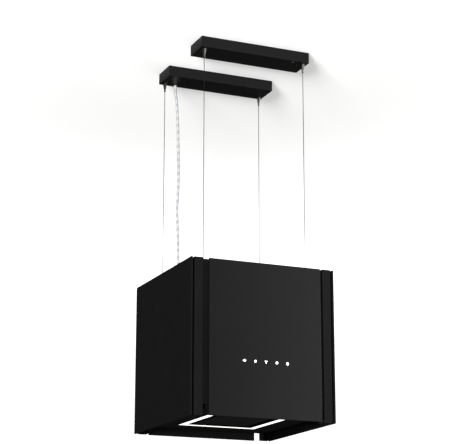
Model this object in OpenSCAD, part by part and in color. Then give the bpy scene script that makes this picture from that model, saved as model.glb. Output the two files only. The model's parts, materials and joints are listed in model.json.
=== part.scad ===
// Island range hood hung from the ceiling on four steel wires.
// Millimetres. The origin is on the ceiling, midway between the two canopies.
// +Z is up, the glass with the touch icons faces -Y, and +X is to its right.

/* [Hood body] */
// Width across the side panels
hood_w = 350; // [340:5:400]
// Depth across the corner strips
hood_d = 350; // [340:5:400]
// Height of the hood
hood_h = 350; // [345:5:420]
// Thickness of a side panel
side_t = 4; // [3:0.5:5]
// Width of a corner strip
strip_w = 21; // [18:1:26]
// Shadow groove between a side panel and a corner strip
groove_w = 4; // [3:0.5:5]
// Open gap between a corner strip and the glass
corner_gap = 10; // [8:0.5:14]
// Thickness of a glass panel
glass_t = 5; // [4:0.5:6]
// How far the glass stands proud of the corner strips
glass_proud = 10; // [6:0.5:14]

/* [Underside] */
// Height of the bottom plate above the lower edges of the walls
recess = 16; // [12:1:20]
// Outer width of the light ring
light_w = 200; // [190:2:210]
// Width of the lit diffuser
diffuser_w = 22; // [18:1:24]
// Side of the hinged suction panel
panel_w = 130; // [120:1:132]

/* [Suspension] */
// Distance from the ceiling to the top of the hood
drop = 538; // [500:1:600]
// Half the distance between the wires, in both directions
wire_at = 127; // [125:0.5:128]
// Wire diameter
wire_d = 1.5; // [1.2:0.1:1.6]
// Mains lead diameter
cord_d = 6.5; // [6:0.1:7]

/* [Canopies] */
// Length of a canopy
canopy_l = 276; // [274:1:290]
// Depth of a canopy
canopy_d = 70; // [68:1:76]
// Height of a canopy
canopy_h = 26; // [25:1:30]
// Distance from the middle of the hood to the middle of a canopy
canopy_y = 104; // [103:0.5:106]

/* [Blower] */
// Impeller radius
impeller_r = 75; // [70:1:76]
// Number of impeller blades
blades = 32; // [24:2:40]
// Width of the blower housing
blower_w = 100; // [96:2:104]

/* [Hidden] */
$fn = 64;

// Heights in the hood are counted from the lower edges of its walls
hood_base = -(drop + hood_h);

// Plan of the hood's walls
panel_in = hood_w / 2 - side_t;
post_out = panel_in - groove_w;
post_in = post_out - strip_w;
post_wall = 2;
post_depth = 25;
strip_y = hood_d / 2;
post_back = strip_y - post_depth;
groove_floor = 10;
glass_half = post_in - corner_gap;
glass_y = strip_y + glass_proud;
glass_back = glass_y - glass_t;
glass_low = 0.5;
glass_high = hood_h - 2.5;
casing_y = strip_y - 3;
casing_t = 1.2;
casing_top = hood_h - 2.5;
sheet = 1.5;
cover_z = hood_h - 7;
cover_t = 2;
icon_pitch = 26;
icon_z = 124.5;
touch_lead_x = 62;

// Underside
plate_x = post_in + 9;
plate_y = casing_y - 10;
lip_h = 10;
ring_out = light_w / 2;
ring_in = ring_out - diffuser_w;
tray_wall = 1;
tray_h = 12;
tray_top = recess + tray_h;
diffuser_t = 2;
panel_half = panel_w / 2;
panel_z = recess + 1.5;
panel_rim = 5;
hinge_y = 70;
hinge_z = recess + 6;
hinge_x = 42.5;
hinge_pin_r = 1.5;
run_fit = 0.05;
ear_r = 3.5;
ear_t = 3.5;
arm_t = 3;
hinge_gap = 0.5;
body_gap = 0.3;

// Filters
housing_out = 84;
housing_in = 76;
ledge_in = 68;
housing_top = tray_top + 18;
ledge_t = 2;
filter_half = 74.5;
filter_low = tray_top + 5.5;
filter_high = housing_top - ledge_t - 0.5;
filter_rim_w = 8.5;
latch_w = 24;
latch_low = tray_top + 1.5;
latch_t = 3;
latch_tip = 80;
latch_tail = 58;

// Blower
axis_y = -25;
axis_z = 205;
scroll_start = 70;
scroll_end = 360;
scroll_r = impeller_r + 7;
scroll_growth = 32;
scroll_wall = 2;
inlet_r = 60;
collar_t = 4;
collar_l = 8;
blower_half = blower_w / 2;
impeller_half = blower_half - 8;
outlet_x = blower_half - scroll_wall;
outlet_y0 = axis_y + scroll_r * cos(scroll_start) + scroll_wall;
outlet_y1 = axis_y + scroll_r + scroll_growth - scroll_wall;
motor_r = 42;
motor_x0 = 4;
motor_x1 = 53;
shaft_r = 4;
bearing_r = 11;

// Suspension
wire_r = wire_d / 2;
wire_top = -12;
anchor_base = cover_z + cover_t;
anchor_h = 14;
gripper_h = 14;
gripper_low = -(canopy_h + gripper_h);
plunger_r = 2.25;
plunger_low = gripper_low - 8;
plunger_high = gripper_low + 4;
gripper_top = -(canopy_h - 10);
chamber_top = gripper_top - 8;
wire_hole_r = wire_r + 0.1;
ball_r = 0.7;
canopy_t = 1.5;
canopy_floor = -(canopy_h - canopy_t);
cable_hole = [-100, 127];
cable_hole_r = 5;
screw_spots = [[-115, 114], [115, 94]];
screw_r = 2;
strap_half = 124;
strap_y = 18;
strap_t = 2;
leg_x = 98;
foot_y = 13.5;
ceiling_screw_x = 80;
ceiling_screw_r = 2.5;
entry_x = 40;
entry_r = 8;

// Mains lead: its route from the rear canopy to the gland on the hood, at a drop of 538
gland_spot = [-87, 127];
gland_h = 27;
cord_route = [
    [-100, 127, -27.5], [-99, 127, -45], [-96, 128, -65], [-93, 129, -90], [-91, 130, -120],
    [-90, 130, -155], [-89, 130, -190], [-88, 130, -230], [-88, 130, -265], [-89, 129, -300],
    [-91, 129, -340], [-90, 128, -380], [-89, 128, -415], [-88, 127, -450], [-87, 127, -485],
    [-87, 127, -515.7]
];

// Leads inside the hood, from the gland, the touch board and the light driver
supply_route = [
    [-87, 127, 343], [-87, 127, 328], [-72, 127, 316], [-20, 127, 312], [40, 127, 310],
    [95, 125, 306], [120, 110, 302], [126, 85, 300], [126, 50, 300]
];
touch_route = [
    [62, -178.4, 124.5], [62, -162, 124.5], [62, -150, 126], [75, -142, 140], [100, -138, 180],
    [120, -120, 230], [126, -100, 270], [126, -80, 280], [126, -70, 280]
];
light_route = [
    [-130, 60, 290], [-130, 75, 290], [-130, 100, 270], [-130, 120, 200], [-125, 125, 100],
    [-115, 110, 50], [-100, 92, 38], [-96, 89, 28]
];

// ---- Shared shapes ----

// A block between two opposite corners
module block(low, high) {
    translate(low) cube(high - low);
}

// A square ring around the Z axis
module square_ring(outer, inner, low, high) {
    difference() {
        block([-outer, -outer, low], [outer, outer, high]);
        block([-inner, -inner, low - 1], [inner, inner, high + 1]);
    }
}

// Hood pieces are drawn with z = 0 at the lower edges of the walls
module in_hood() {
    translate([0, 0, hood_base]) children();
}

module left_and_right() {
    children();
    mirror([1, 0, 0]) children();
}

module front_and_back() {
    children();
    mirror([0, 1, 0]) children();
}

// A cylinder along X, from x0 to x1
module rod_x(x0, x1, r) {
    translate([x0, 0, 0]) rotate([0, 90, 0]) cylinder(h = x1 - x0, r = r);
}

// Moves to the blower's axis
module at_blower() {
    translate([0, axis_y, axis_z]) children();
}

// One point of a smooth curve through p1 and p2, with p0 and p3 beyond them
function between(p0, p1, p2, p3, t) =
    0.5 * (2 * p1 + (p2 - p0) * t + (2 * p0 - 5 * p1 + 4 * p2 - p3) * t * t
    + (3 * p1 - p0 - 3 * p2 + p3) * t * t * t);

// The smooth curve through a route, with steps points to each stretch
function smooth(route, steps) = concat(
    [for (i = [0 : len(route) - 2], k = [0 : steps - 1])
        between(route[max(i - 1, 0)], route[i], route[i + 1],
                route[min(i + 2, len(route) - 1)], k / steps)],
    [route[len(route) - 1]]);

function unit(v) = v / norm(v);

// The direction of a line of points at point i
function heading(line, i) = unit(line[min(i + 1, len(line) - 1)] - line[max(i - 1, 0)]);

// One corner of ring i, square to the line, with side as its fixed sideways direction
function ring_corner(line, i, a, r, side) =
    let (d = heading(line, i), u = unit(cross(d, side)), v = cross(d, u))
    line[i] + r * (cos(a) * u + sin(a) * v);

// A tube of radius r along a line of points
module tube(line, r, sides, side) {
    rings = len(line);
    corners = [for (i = [0 : rings - 1], k = [0 : sides - 1])
        ring_corner(line, i, 360 * k / sides, r, side)];
    walls = [for (i = [0 : rings - 2], k = [0 : sides - 1], half = [0, 1])
        let (a = i * sides + k, b = i * sides + (k + 1) % sides)
        half == 0 ? [a, b, b + sides] : [a, b + sides, a + sides]];
    first = [for (k = [0 : sides - 1]) sides - 1 - k];
    last = [for (k = [0 : sides - 1]) (rings - 1) * sides + k];
    polyhedron(points = corners, faces = concat([first, last], walls), convexity = 4);
}

// ---- Ceiling canopies and what they hold ----

// The rear canopy; the front one is the same part, turned half round
module canopy() {
    y0 = canopy_y - canopy_d / 2;
    y1 = canopy_y + canopy_d / 2;
    half = canopy_l / 2;
    color([0.05, 0.05, 0.055]) difference() {
        block([-half, y0, -canopy_h], [half, y1, 0]);
        block([canopy_t - half, y0 + canopy_t, canopy_floor], [half - canopy_t, y1 - canopy_t, 1]);
        for (x = [-wire_at, wire_at])
            translate([x, wire_at, -canopy_h - 1]) cylinder(h = canopy_t + 2, r = 5);
        translate([cable_hole.x, cable_hole.y, -canopy_h - 1])
            cylinder(h = canopy_t + 2, r = cable_hole_r);
        for (p = screw_spots)
            translate([p.x, p.y, -canopy_h - 1]) cylinder(h = canopy_t + 2, r = screw_r);
    }
}

module canopy_rear() {
    canopy();
}

module canopy_front() {
    rotate(180) canopy();
}

// A strap on the ceiling with two legs, whose feet the canopy is screwed to
module ceiling_bracket() {
    difference() {
        union() {
            block([-strap_half, canopy_y - strap_y, -strap_t], [strap_half, canopy_y + strap_y, 0]);
            left_and_right() {
                block([leg_x, canopy_y - foot_y, canopy_floor],
                      [leg_x + strap_t, canopy_y + foot_y, -strap_t]);
                block([leg_x, canopy_y - foot_y, canopy_floor],
                      [strap_half, canopy_y + foot_y, canopy_floor + strap_t]);
            }
        }
        for (x = [-ceiling_screw_x, ceiling_screw_x])
            translate([x, canopy_y, -strap_t - 1]) cylinder(h = strap_t + 2, r = ceiling_screw_r);
        translate([entry_x, canopy_y, -strap_t - 1]) cylinder(h = strap_t + 2, r = entry_r);
        for (p = screw_spots)
            translate([p.x, p.y, canopy_floor - 1]) cylinder(h = strap_t + 2, r = screw_r);
    }
}

module ceiling_brackets() {
    color([0.75, 0.75, 0.76]) {
        ceiling_bracket();
        rotate(180) ceiling_bracket();
    }
}

// Pan-head screws that hold the canopies to the brackets' feet
module canopy_screws() {
    head_r = 3.5;
    head_h = 1.8;
    shank_l = 8;
    color([0.08, 0.08, 0.08]) for (turn = [0, 180]) rotate(turn) for (p = screw_spots)
        translate([p.x, p.y, -canopy_h - head_h]) {
            cylinder(h = head_h, r = head_r);
            cylinder(h = head_h + shank_l, r = screw_r);
        }
}

module at_each_wire() {
    for (x = [-wire_at, wire_at], y = [-wire_at, wire_at]) translate([x, y, 0]) children();
}

// A cone with a threaded neck, a bore for the plunger and a chamber for its spring
module gripper_body() {
    neck_r = 5;
    tip_r = 3;
    difference() {
        union() {
            translate([0, 0, gripper_low]) cylinder(h = gripper_h, r1 = tip_r, r2 = neck_r);
            translate([0, 0, -canopy_h]) cylinder(h = gripper_top + canopy_h, r = neck_r);
        }
        translate([0, 0, gripper_low - 1])
            cylinder(h = chamber_top - gripper_low + 1, r = plunger_r + run_fit);
        translate([0, 0, chamber_top - 1]) cylinder(h = gripper_top - chamber_top + 2, r = wire_hole_r);
    }
}

module gripper_bodies() {
    color([0.72, 0.72, 0.74]) at_each_wire() gripper_body();
}

// Hexagon nuts that hold the grippers in the canopies
module gripper_nuts() {
    nut_r = 8;
    nut_h = 5;
    color([0.72, 0.72, 0.74]) at_each_wire() translate([0, 0, canopy_floor]) difference() {
        cylinder(h = nut_h, r = nut_r, $fn = 6);
        translate([0, 0, -1]) cylinder(h = nut_h + 2, r = 5);
    }
}

// The release plunger and the three balls that bite on the wire
module plunger(side_x, side_y) {
    color([0.72, 0.72, 0.74]) translate([side_x * wire_at, side_y * wire_at, 0]) {
        difference() {
            translate([0, 0, plunger_low]) cylinder(h = plunger_high - plunger_low, r = plunger_r);
            translate([0, 0, plunger_low - 1])
                cylinder(h = plunger_high - plunger_low + 2, r = wire_hole_r);
        }
        for (a = [0 : 120 : 240]) rotate(a)
            translate([wire_r + ball_r + 0.03, 0, plunger_high + ball_r + 0.02]) sphere(r = ball_r);
    }
}

module plunger_front_left() { plunger(-1, -1); }
module plunger_front_right() { plunger(1, -1); }
module plunger_rear_left() { plunger(-1, 1); }
module plunger_rear_right() { plunger(1, 1); }

// Springs between the balls and the roofs of the chambers
module release_springs() {
    turns = 5;
    steps = 10;
    coil_r = 1.8;
    steel_r = 0.2;
    low = plunger_high + 2 * ball_r + 0.3;
    high = chamber_top - 0.25;
    coil = [for (i = [0 : turns * steps])
        let (a = 360 * i / steps)
        [coil_r * cos(a), coil_r * sin(a), low + (high - low) * i / (turns * steps)]];
    color([0.7, 0.7, 0.7]) at_each_wire() tube(coil, steel_r, 5, [0, 0, 1]);
}

// One straight wire from inside its gripper to its anchor on the hood
module wire(side_x, side_y) {
    low = hood_base + anchor_base + 7;
    color([0.6, 0.6, 0.6]) translate([side_x * wire_at, side_y * wire_at, low])
        cylinder(h = wire_top - low, r = wire_r);
}

module wire_front_left() { wire(-1, -1); }
module wire_front_right() { wire(1, -1); }
module wire_rear_left() { wire(-1, 1); }
module wire_rear_right() { wire(1, 1); }

// Three-pole terminal block under the rear bracket's strap
module terminal_block() {
    pitch = 12;
    size = [38, 18, 12];
    color([0.9, 0.9, 0.85]) translate([-10, canopy_y, -strap_t]) difference() {
        block([-size.x / 2, -size.y / 2, -size.z], [size.x / 2, size.y / 2, 0]);
        for (i = [-1 : 1]) {
            translate([i * pitch, 0, -size.z / 2]) rotate([90, 0, 0])
                cylinder(h = size.y + 2, r = 2, center = true);
            for (y = [-5, 5]) translate([i * pitch, y, -size.z - 1]) cylinder(h = 5, r = 1.6);
        }
    }
}

// Strain relief moulded on the lead, in the rear canopy's cable hole
module canopy_gland() {
    color([0.1, 0.1, 0.1]) translate([cable_hole.x, cable_hole.y, 0]) {
        translate([0, 0, -canopy_h - 1.5]) cylinder(h = 1.5, r = 7);
        translate([0, 0, -canopy_h]) cylinder(h = canopy_t, r = cable_hole_r);
        translate([0, 0, canopy_floor]) cylinder(h = 4, r = 7);
        translate([0, 0, canopy_floor + 4]) cylinder(h = 10, r1 = 5, r2 = 3.6);
    }
}

module power_cord() {
    nominal_drop = 538;
    stretch = drop / nominal_drop;
    route = [for (p = cord_route) [p.x, p.y, p.z * stretch]];
    color([0.78, 0.78, 0.78]) tube(smooth(route, 2), cord_d / 2, 10, [0, 1, 0]);
}

// ---- Outer skin of the hood ----

// A flat wall with an inward flange near its lower edge
module side_panel() {
    flange_w = 9;
    flange_top = recess;
    color([0.06, 0.06, 0.065]) in_hood() {
        block([panel_in, -strip_y, 0], [hood_w / 2, strip_y, hood_h]);
        block([panel_in - flange_w, -post_back, flange_top - sheet], [panel_in, post_back, flange_top]);
    }
}

module side_panel_right() { side_panel(); }
module side_panel_left() { mirror([1, 0, 0]) side_panel(); }

// A channel whose face is the corner strip, with a web that carries the side panel
module corner_post() {
    translate([0, -strip_y, 0]) {
        block([post_in, 0, 0], [post_out, post_wall, hood_h]);
        block([post_in, 0, 0], [post_in + post_wall, post_depth, hood_h]);
        block([post_out - post_wall, 0, 0], [post_out, post_depth, hood_h]);
        block([post_out - post_wall, groove_floor, 0], [panel_in, groove_floor + post_wall, hood_h]);
    }
}

module corner_posts() {
    color([0.08, 0.08, 0.085]) in_hood() left_and_right() front_and_back() corner_post();
}

module glass_panel() {
    in_hood() block([-glass_half, -glass_y, glass_low], [glass_half, -glass_back, glass_high]);
}

module front_glass() {
    color([0.12, 0.12, 0.125]) glass_panel();
}

module rear_glass() {
    color([0.12, 0.12, 0.125]) rotate(180) glass_panel();
}

// Bonded pads that hold the glass off the casing
module glass_standoffs() {
    pad_t = 2;
    foot_r = 10;
    stem_r = 6;
    pad_r = 12;
    at_x = 100;
    low_z = 60;
    high_z = 300;
    span = glass_back - casing_y;
    color([0.3, 0.3, 0.3]) in_hood() front_and_back()
        for (x = [-at_x, at_x], z = [low_z, high_z]) translate([x, -casing_y, z]) rotate([90, 0, 0]) {
            cylinder(h = pad_t, r = foot_r);
            cylinder(h = span, r = stem_r);
            translate([0, 0, span - pad_t]) cylinder(h = pad_t, r = pad_r);
        }
}

// Printed touch icons, just proud of the glass
module touch_icons() {
    icon_r = 4;
    icon_t = 0.2;
    color([0.95, 0.95, 0.95]) in_hood() for (i = [-2 : 2])
        translate([i * icon_pitch, -glass_y, icon_z]) rotate([90, 0, 0]) cylinder(h = icon_t, r = icon_r);
}

// A shallow tray behind the glass for the touch board
module touch_housing() {
    half_x = 80;
    half_z = 20.5;
    wall = 2;
    color([0.15, 0.15, 0.15]) in_hood() difference() {
        block([-half_x, -glass_back, icon_z - half_z], [half_x, -casing_y - 1, icon_z + half_z]);
        block([wall - half_x, -glass_back - 1, icon_z - half_z + wall],
              [half_x - wall, -casing_y - 1 - wall, icon_z + half_z - wall]);
        translate([touch_lead_x, -casing_y, icon_z]) rotate([90, 0, 0])
            cylinder(h = 20, r = 4, center = true);
    }
}

// Circuit board against the glass, with a sensor behind each icon
module touch_board() {
    half_x = 76;
    half_z = 16.5;
    board_t = 1.6;
    sensor = 4;
    color([0.05, 0.3, 0.15]) in_hood() {
        block([-half_x, -glass_back, icon_z - half_z], [half_x, board_t - glass_back, icon_z + half_z]);
        for (i = [-2 : 2]) translate([i * icon_pitch, board_t - glass_back, icon_z])
            block([-sensor, 0, -sensor], [sensor, board_t, sensor]);
    }
}

// ---- Inner casing ----

// A wall between the posts that stands up past the lid, folded inwards at its foot
module casing_wall() {
    in_hood() {
        block([-post_in, -casing_y, recess + lip_h], [post_in, -casing_y + casing_t, casing_top]);
        block([-post_in, -casing_y, recess + lip_h],
              [post_in, -plate_y + sheet, recess + lip_h + casing_t]);
    }
}

module casing_front() {
    color([0.1, 0.1, 0.1]) difference() {
        casing_wall();
        in_hood() translate([touch_lead_x, -casing_y, icon_z]) rotate([90, 0, 0])
            cylinder(h = 10, r = 3.5, center = true);
    }
}

module casing_rear() {
    color([0.1, 0.1, 0.1]) rotate(180) casing_wall();
}

module casing_sides() {
    color([0.1, 0.1, 0.1]) in_hood() left_and_right()
        block([post_in, -post_back, recess + sheet], [post_in + casing_t, post_back, cover_z]);
}

// Steel lid of the casing, with the air outlet, the wire anchors' holes and the lead's hole
module top_cover() {
    color([0.1, 0.1, 0.1]) in_hood() difference() {
        union() {
            block([-panel_in, -post_back, cover_z], [panel_in, post_back, cover_z + cover_t]);
            block([-post_in, casing_t - casing_y, cover_z], [post_in, casing_y - casing_t, cover_z + cover_t]);
        }
        block([-outlet_x, outlet_y0, cover_z - 1], [outlet_x, outlet_y1, cover_z + cover_t + 1]);
        at_each_wire() translate([0, 0, cover_z - 1]) cylinder(h = cover_t + 2, r = 3);
        translate([gland_spot.x, gland_spot.y, cover_z - 1]) cylinder(h = cover_t + 2, r = 6);
    }
}

module outlet_grille() {
    margin = 8;
    rim = 3;
    slat_t = 1.5;
    slats = 9;
    pitch = (outlet_y1 - outlet_y0) / (slats + 1);
    color([0.12, 0.12, 0.12]) in_hood() {
        difference() {
            block([-outlet_x - margin, outlet_y0 - margin, anchor_base],
                  [outlet_x + margin, outlet_y1 + margin, anchor_base + rim]);
            block([-outlet_x, outlet_y0, anchor_base - 1], [outlet_x, outlet_y1, anchor_base + rim + 1]);
        }
        for (i = [1 : slats]) let (y = outlet_y0 + i * pitch)
            block([-outlet_x - 1, y - slat_t / 2, anchor_base],
                  [outlet_x + 1, y + slat_t / 2, anchor_base + rim]);
    }
}

// Flat bars under the lid that carry the hood on its wire anchors
module lift_bars() {
    bar_w = 20;
    bar_t = 4;
    end_y = casing_y - casing_t;
    color([0.6, 0.6, 0.6]) in_hood() left_and_right() difference() {
        block([wire_at - bar_w / 2, -end_y, cover_z - bar_t], [wire_at + bar_w / 2, end_y, cover_z]);
        for (y = [-wire_at, wire_at])
            translate([wire_at, y, cover_z - bar_t - 1]) cylinder(h = bar_t + 2, r = 3);
    }
}

// A stud with a hexagon and a cone that holds the wire's end, and its nut under the bar
module wire_anchors() {
    stud_l = 14;
    nut_h = 5;
    hex_r = 6;
    bore_l = anchor_h - 6;
    color([0.72, 0.72, 0.74]) in_hood() at_each_wire() {
        difference() {
            union() {
                translate([0, 0, anchor_base - stud_l]) cylinder(h = stud_l, r = 3);
                translate([0, 0, anchor_base]) cylinder(h = 4, r = hex_r, $fn = 6);
                translate([0, 0, anchor_base + 4]) cylinder(h = anchor_h - 4, r1 = 5, r2 = 2);
            }
            translate([0, 0, anchor_base + anchor_h - bore_l]) cylinder(h = bore_l + 1, r = wire_r + run_fit);
        }
        translate([0, 0, cover_z - 4 - nut_h]) difference() {
            cylinder(h = nut_h, r = hex_r, $fn = 6);
            translate([0, 0, -1]) cylinder(h = nut_h + 2, r = 3);
        }
    }
}

// Tapered strain relief where the lead enters the hood
module hood_gland() {
    color([0.1, 0.1, 0.1]) in_hood() translate([gland_spot.x, gland_spot.y, anchor_base]) {
        cylinder(h = 3, r = 9);
        translate([0, 0, -cover_t]) cylinder(h = cover_t, r = 6);
        translate([0, 0, 3]) cylinder(h = gland_h - 3, r1 = 7, r2 = 4.2);
    }
}

// ---- Underside ----

// Recessed tray with a square window for the light ring and a notch for each corner post
module bottom_plate() {
    window = ring_out + tray_wall;
    notch_x = post_in - body_gap;
    notch_y = post_back - body_gap;
    color([0.16, 0.16, 0.16]) in_hood() difference() {
        block([-plate_x, -plate_y, recess], [plate_x, plate_y, recess + lip_h]);
        block([sheet - plate_x, sheet - plate_y, recess + sheet],
              [plate_x - sheet, plate_y - sheet, recess + lip_h + 1]);
        block([-window, -window, recess - 1], [window, window, recess + sheet + 1]);
        left_and_right() front_and_back()
            block([notch_x, notch_y, recess - 1], [plate_x + 1, plate_y + 1, recess + lip_h + 1]);
    }
}

// Channel that holds the strips and the diffuser, open downwards
module light_tray() {
    flange = 8;
    color([0.2, 0.2, 0.2]) in_hood() {
        square_ring(ring_out + tray_wall, ring_in - tray_wall, tray_top - tray_wall, tray_top);
        square_ring(ring_out + tray_wall, ring_out, recess, tray_top);
        square_ring(ring_in, ring_in - tray_wall, recess, tray_top);
        square_ring(ring_out + flange, ring_out, recess + sheet, recess + sheet + tray_wall);
    }
}

// Four circuit strips with their light chips, one along each side of the tray
module light_strips() {
    strip_t = 1.2;
    half_w = 5;
    middle = (ring_out + ring_in) / 2;
    high = tray_top - tray_wall;
    chip = 1.5;
    chip_t = 0.8;
    chips = 5;
    chip_pitch = 15;
    color([0.95, 0.95, 0.8]) in_hood() for (turn = [0 : 90 : 270]) rotate(turn) {
        block([-middle + half_w + body_gap, -middle - half_w, high - strip_t],
              [middle + half_w, -middle + half_w, high]);
        for (i = [-chips : chips]) translate([i * chip_pitch + half_w, -middle, high - strip_t])
            block([-chip, -chip, -chip_t], [chip, chip, 0]);
    }
}

module light_diffuser() {
    color([1, 1, 1]) in_hood() square_ring(ring_out, ring_in, recess, recess + diffuser_t);
}

// Collar above the light tray that the grease filter is pushed up into
module filter_housing() {
    tab_x0 = 29;
    tab_x1 = 51;
    color([0.25, 0.25, 0.25]) in_hood() difference() {
        union() {
            square_ring(housing_out, housing_in, tray_top, housing_top);
            square_ring(housing_out, ledge_in, housing_top - ledge_t, housing_top);
        }
        block([-latch_w / 2 - 1, -housing_out - 1, latch_low - 0.5],
              [latch_w / 2 + 1, -housing_in + 1, latch_low + latch_t + 0.5]);
        left_and_right() block([tab_x0, housing_in - 1, filter_low + 2],
              [tab_x1, housing_out + 1, filter_low + 6]);
    }
}

// Aluminium rim with two tabs that hook into the housing, and rails for the latch
module grease_filter_rim() {
    rail_x = latch_w / 2 + body_gap;
    rail_w = 3;
    color([0.75, 0.75, 0.76]) in_hood() {
        square_ring(filter_half, filter_half - filter_rim_w, filter_low, filter_high);
        left_and_right() {
            block([30, filter_half - 1, filter_low + 3], [50, filter_half + 5, filter_low + 5]);
            block([rail_x, -filter_half, latch_low - 1], [rail_x + rail_w, -filter_half + 16, filter_low]);
            block([rail_x - 2, -filter_half, latch_low - 1.5],
                  [rail_x + rail_w, -filter_half + 16, latch_low - body_gap]);
        }
    }
}

module grease_filter_mesh() {
    half = filter_half - filter_rim_w;
    color([0.65, 0.65, 0.66]) in_hood()
        block([-half, -half, filter_low + 1.5], [half, half, filter_high - 1.5]);
}

// Spring latch that locks the grease filter, with a finger lip
module filter_latch() {
    color([0.1, 0.1, 0.1]) in_hood() {
        block([-latch_w / 2, -latch_tip, latch_low], [latch_w / 2, -latch_tail, latch_low + latch_t]);
        block([-8, -latch_tail - 2, latch_low - 2.5], [8, -latch_tail, latch_low + latch_t]);
    }
}

// Hinged suction panel: a shallow tray with two hinge ears and two strike tabs
module suction_panel() {
    tab_y = 72;
    tab_x0 = 38;
    tab_x1 = 46;
    ear_x = hinge_x - hinge_gap;
    color([0.07, 0.07, 0.07]) in_hood() {
        difference() {
            block([-panel_half, -panel_half, panel_z], [panel_half, panel_half, panel_z + panel_rim + sheet]);
            block([sheet - panel_half, sheet - panel_half, panel_z + sheet],
                  [panel_half - sheet, panel_half - sheet, panel_z + panel_rim + sheet + 1]);
        }
        left_and_right() {
            difference() {
                union() {
                    translate([0, hinge_y, hinge_z]) rod_x(ear_x - ear_t, ear_x, ear_r);
                    block([ear_x - ear_t, panel_half - 1, hinge_z - 3], [ear_x, hinge_y, hinge_z + 3]);
                }
                translate([0, hinge_y, hinge_z])
                    rod_x(hinge_x - ear_t - 2, hinge_x + 1, hinge_pin_r + run_fit);
            }
            block([tab_x0, -tab_y, panel_z + sheet], [tab_x1, 1 - panel_half, panel_z + 2 * sheet]);
        }
    }
}

// Arms on the light tray, with the pins that the panel's ears turn on
module hinge_brackets() {
    tray_face = ring_in - tray_wall;
    color([0.6, 0.6, 0.6]) in_hood() left_and_right() {
        difference() {
            union() {
                translate([0, hinge_y, hinge_z]) rod_x(hinge_x, hinge_x + arm_t, ear_r);
                block([hinge_x, hinge_y, hinge_z - ear_r], [hinge_x + arm_t, tray_face, hinge_z + ear_r]);
            }
            translate([0, hinge_y, hinge_z]) rod_x(hinge_x - 1, hinge_x + arm_t + 1, hinge_pin_r);
        }
        translate([0, hinge_y, hinge_z])
            rod_x(hinge_x - hinge_gap - ear_t - 1, hinge_x + arm_t + 1, hinge_pin_r);
    }
}

// Magnets that hold the panel shut
module catch_magnets() {
    tray_face = ring_in - tray_wall;
    low = panel_z + 2 * sheet + body_gap;
    color([0.4, 0.4, 0.4]) in_hood() left_and_right()
        block([38, -tray_face, low], [46, -tray_face + 8, low + 5]);
}

// ---- Blower ----

function scroll_radius(a) =
    scroll_r + scroll_growth * (a - scroll_start) / (scroll_end - scroll_start);

// The snail outline in the Y-Z plane, drawn in by inset, up to a height of top over the axis
function scroll_outline(inset, top) = concat(
    [for (a = [scroll_start : 10 : scroll_end])
        (scroll_radius(a) - inset) * [cos(a), sin(a)]],
    [[scroll_radius(scroll_end) - inset, top]],
    [[scroll_r * cos(scroll_start) + inset, top]]);

// Extrudes a Y-Z outline along X from x0 to x1
module along_x(x0, x1) {
    translate([x0, 0, 0]) rotate([90, 0, 90]) linear_extrude(x1 - x0) children();
}

// The right half of the housing, with the inlet collar and its three bayonet lugs
module blower_half_shell() {
    duct_top = cover_z - axis_z;
    lug_r = 67;
    at_blower() difference() {
        union() {
            along_x(0, blower_half) polygon(scroll_outline(0, duct_top));
            rod_x(blower_half, blower_half + collar_l, inlet_r + collar_t);
            for (a = [0 : 120 : 240]) rotate([a, 0, 0])
                block([blower_half + 5, -8, inlet_r], [blower_half + collar_l, 8, lug_r]);
        }
        along_x(-1, blower_half - scroll_wall) polygon(scroll_outline(scroll_wall, duct_top + 1));
        rod_x(0, blower_half + collar_l + 1, inlet_r);
    }
}

module blower_housing_right() {
    color([0.2, 0.2, 0.2]) in_hood() blower_half_shell();
}

module blower_housing_left() {
    color([0.2, 0.2, 0.2]) in_hood() mirror([1, 0, 0]) blower_half_shell();
}

// Double-inlet wheel: a centre disc and hub, tilted blades and two end rings
module impeller() {
    blade_l = 14;
    blade_t = 1.2;
    tilt = 35;
    middle_r = impeller_r - 6;
    ring_w = 3;
    color([0.3, 0.3, 0.3]) in_hood() at_blower() difference() {
        union() {
            rod_x(-1, 1, impeller_r);
            rod_x(-14, -1, 10);
            along_x(-impeller_half, impeller_half) for (i = [0 : blades - 1])
                rotate(i * 360 / blades) translate([middle_r, 0]) rotate(tilt)
                    square([blade_l, blade_t], center = true);
            left_and_right() difference() {
                rod_x(impeller_half - 2, impeller_half, impeller_r);
                rod_x(impeller_half - 3, impeller_half + 1, impeller_r - ring_w);
            }
        }
        rod_x(-15, 2, shaft_r);
    }
}

// Shaft with the rotor core pressed on it
module motor_rotor() {
    color([0.55, 0.55, 0.56]) in_hood() at_blower() {
        rod_x(-16, 55, shaft_r);
        difference() {
            rod_x(15, 43, 23);
            rod_x(14, 44, shaft_r);
        }
    }
}

module motor_can() {
    wall = 2;
    seat_l = 6;
    color([0.45, 0.45, 0.46]) in_hood() at_blower() difference() {
        rod_x(motor_x0, motor_x1, motor_r);
        difference() {
            rod_x(motor_x0 + wall, motor_x1 - wall, motor_r - wall);
            rod_x(motor_x0, motor_x0 + wall + seat_l, bearing_r + 2);
            rod_x(motor_x1 - wall - seat_l, motor_x1, bearing_r + 2);
        }
        rod_x(motor_x0 + wall, motor_x1 - wall, bearing_r);
        rod_x(motor_x0 - 1, motor_x1 + 1, shaft_r + 1);
    }
}

module motor_stator() {
    color([0.55, 0.35, 0.2]) in_hood() at_blower() difference() {
        rod_x(14, 44, 40);
        rod_x(13, 45, 23.5);
    }
}

module motor_bearings() {
    wall = 2;
    seat_l = 6;
    color([0.7, 0.7, 0.72]) in_hood() at_blower()
        for (x = [motor_x0 + wall, motor_x1 - wall - seat_l]) difference() {
            rod_x(x, x + seat_l, bearing_r);
            rod_x(x - 1, x + seat_l + 1, shaft_r + run_fit);
        }
}

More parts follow.
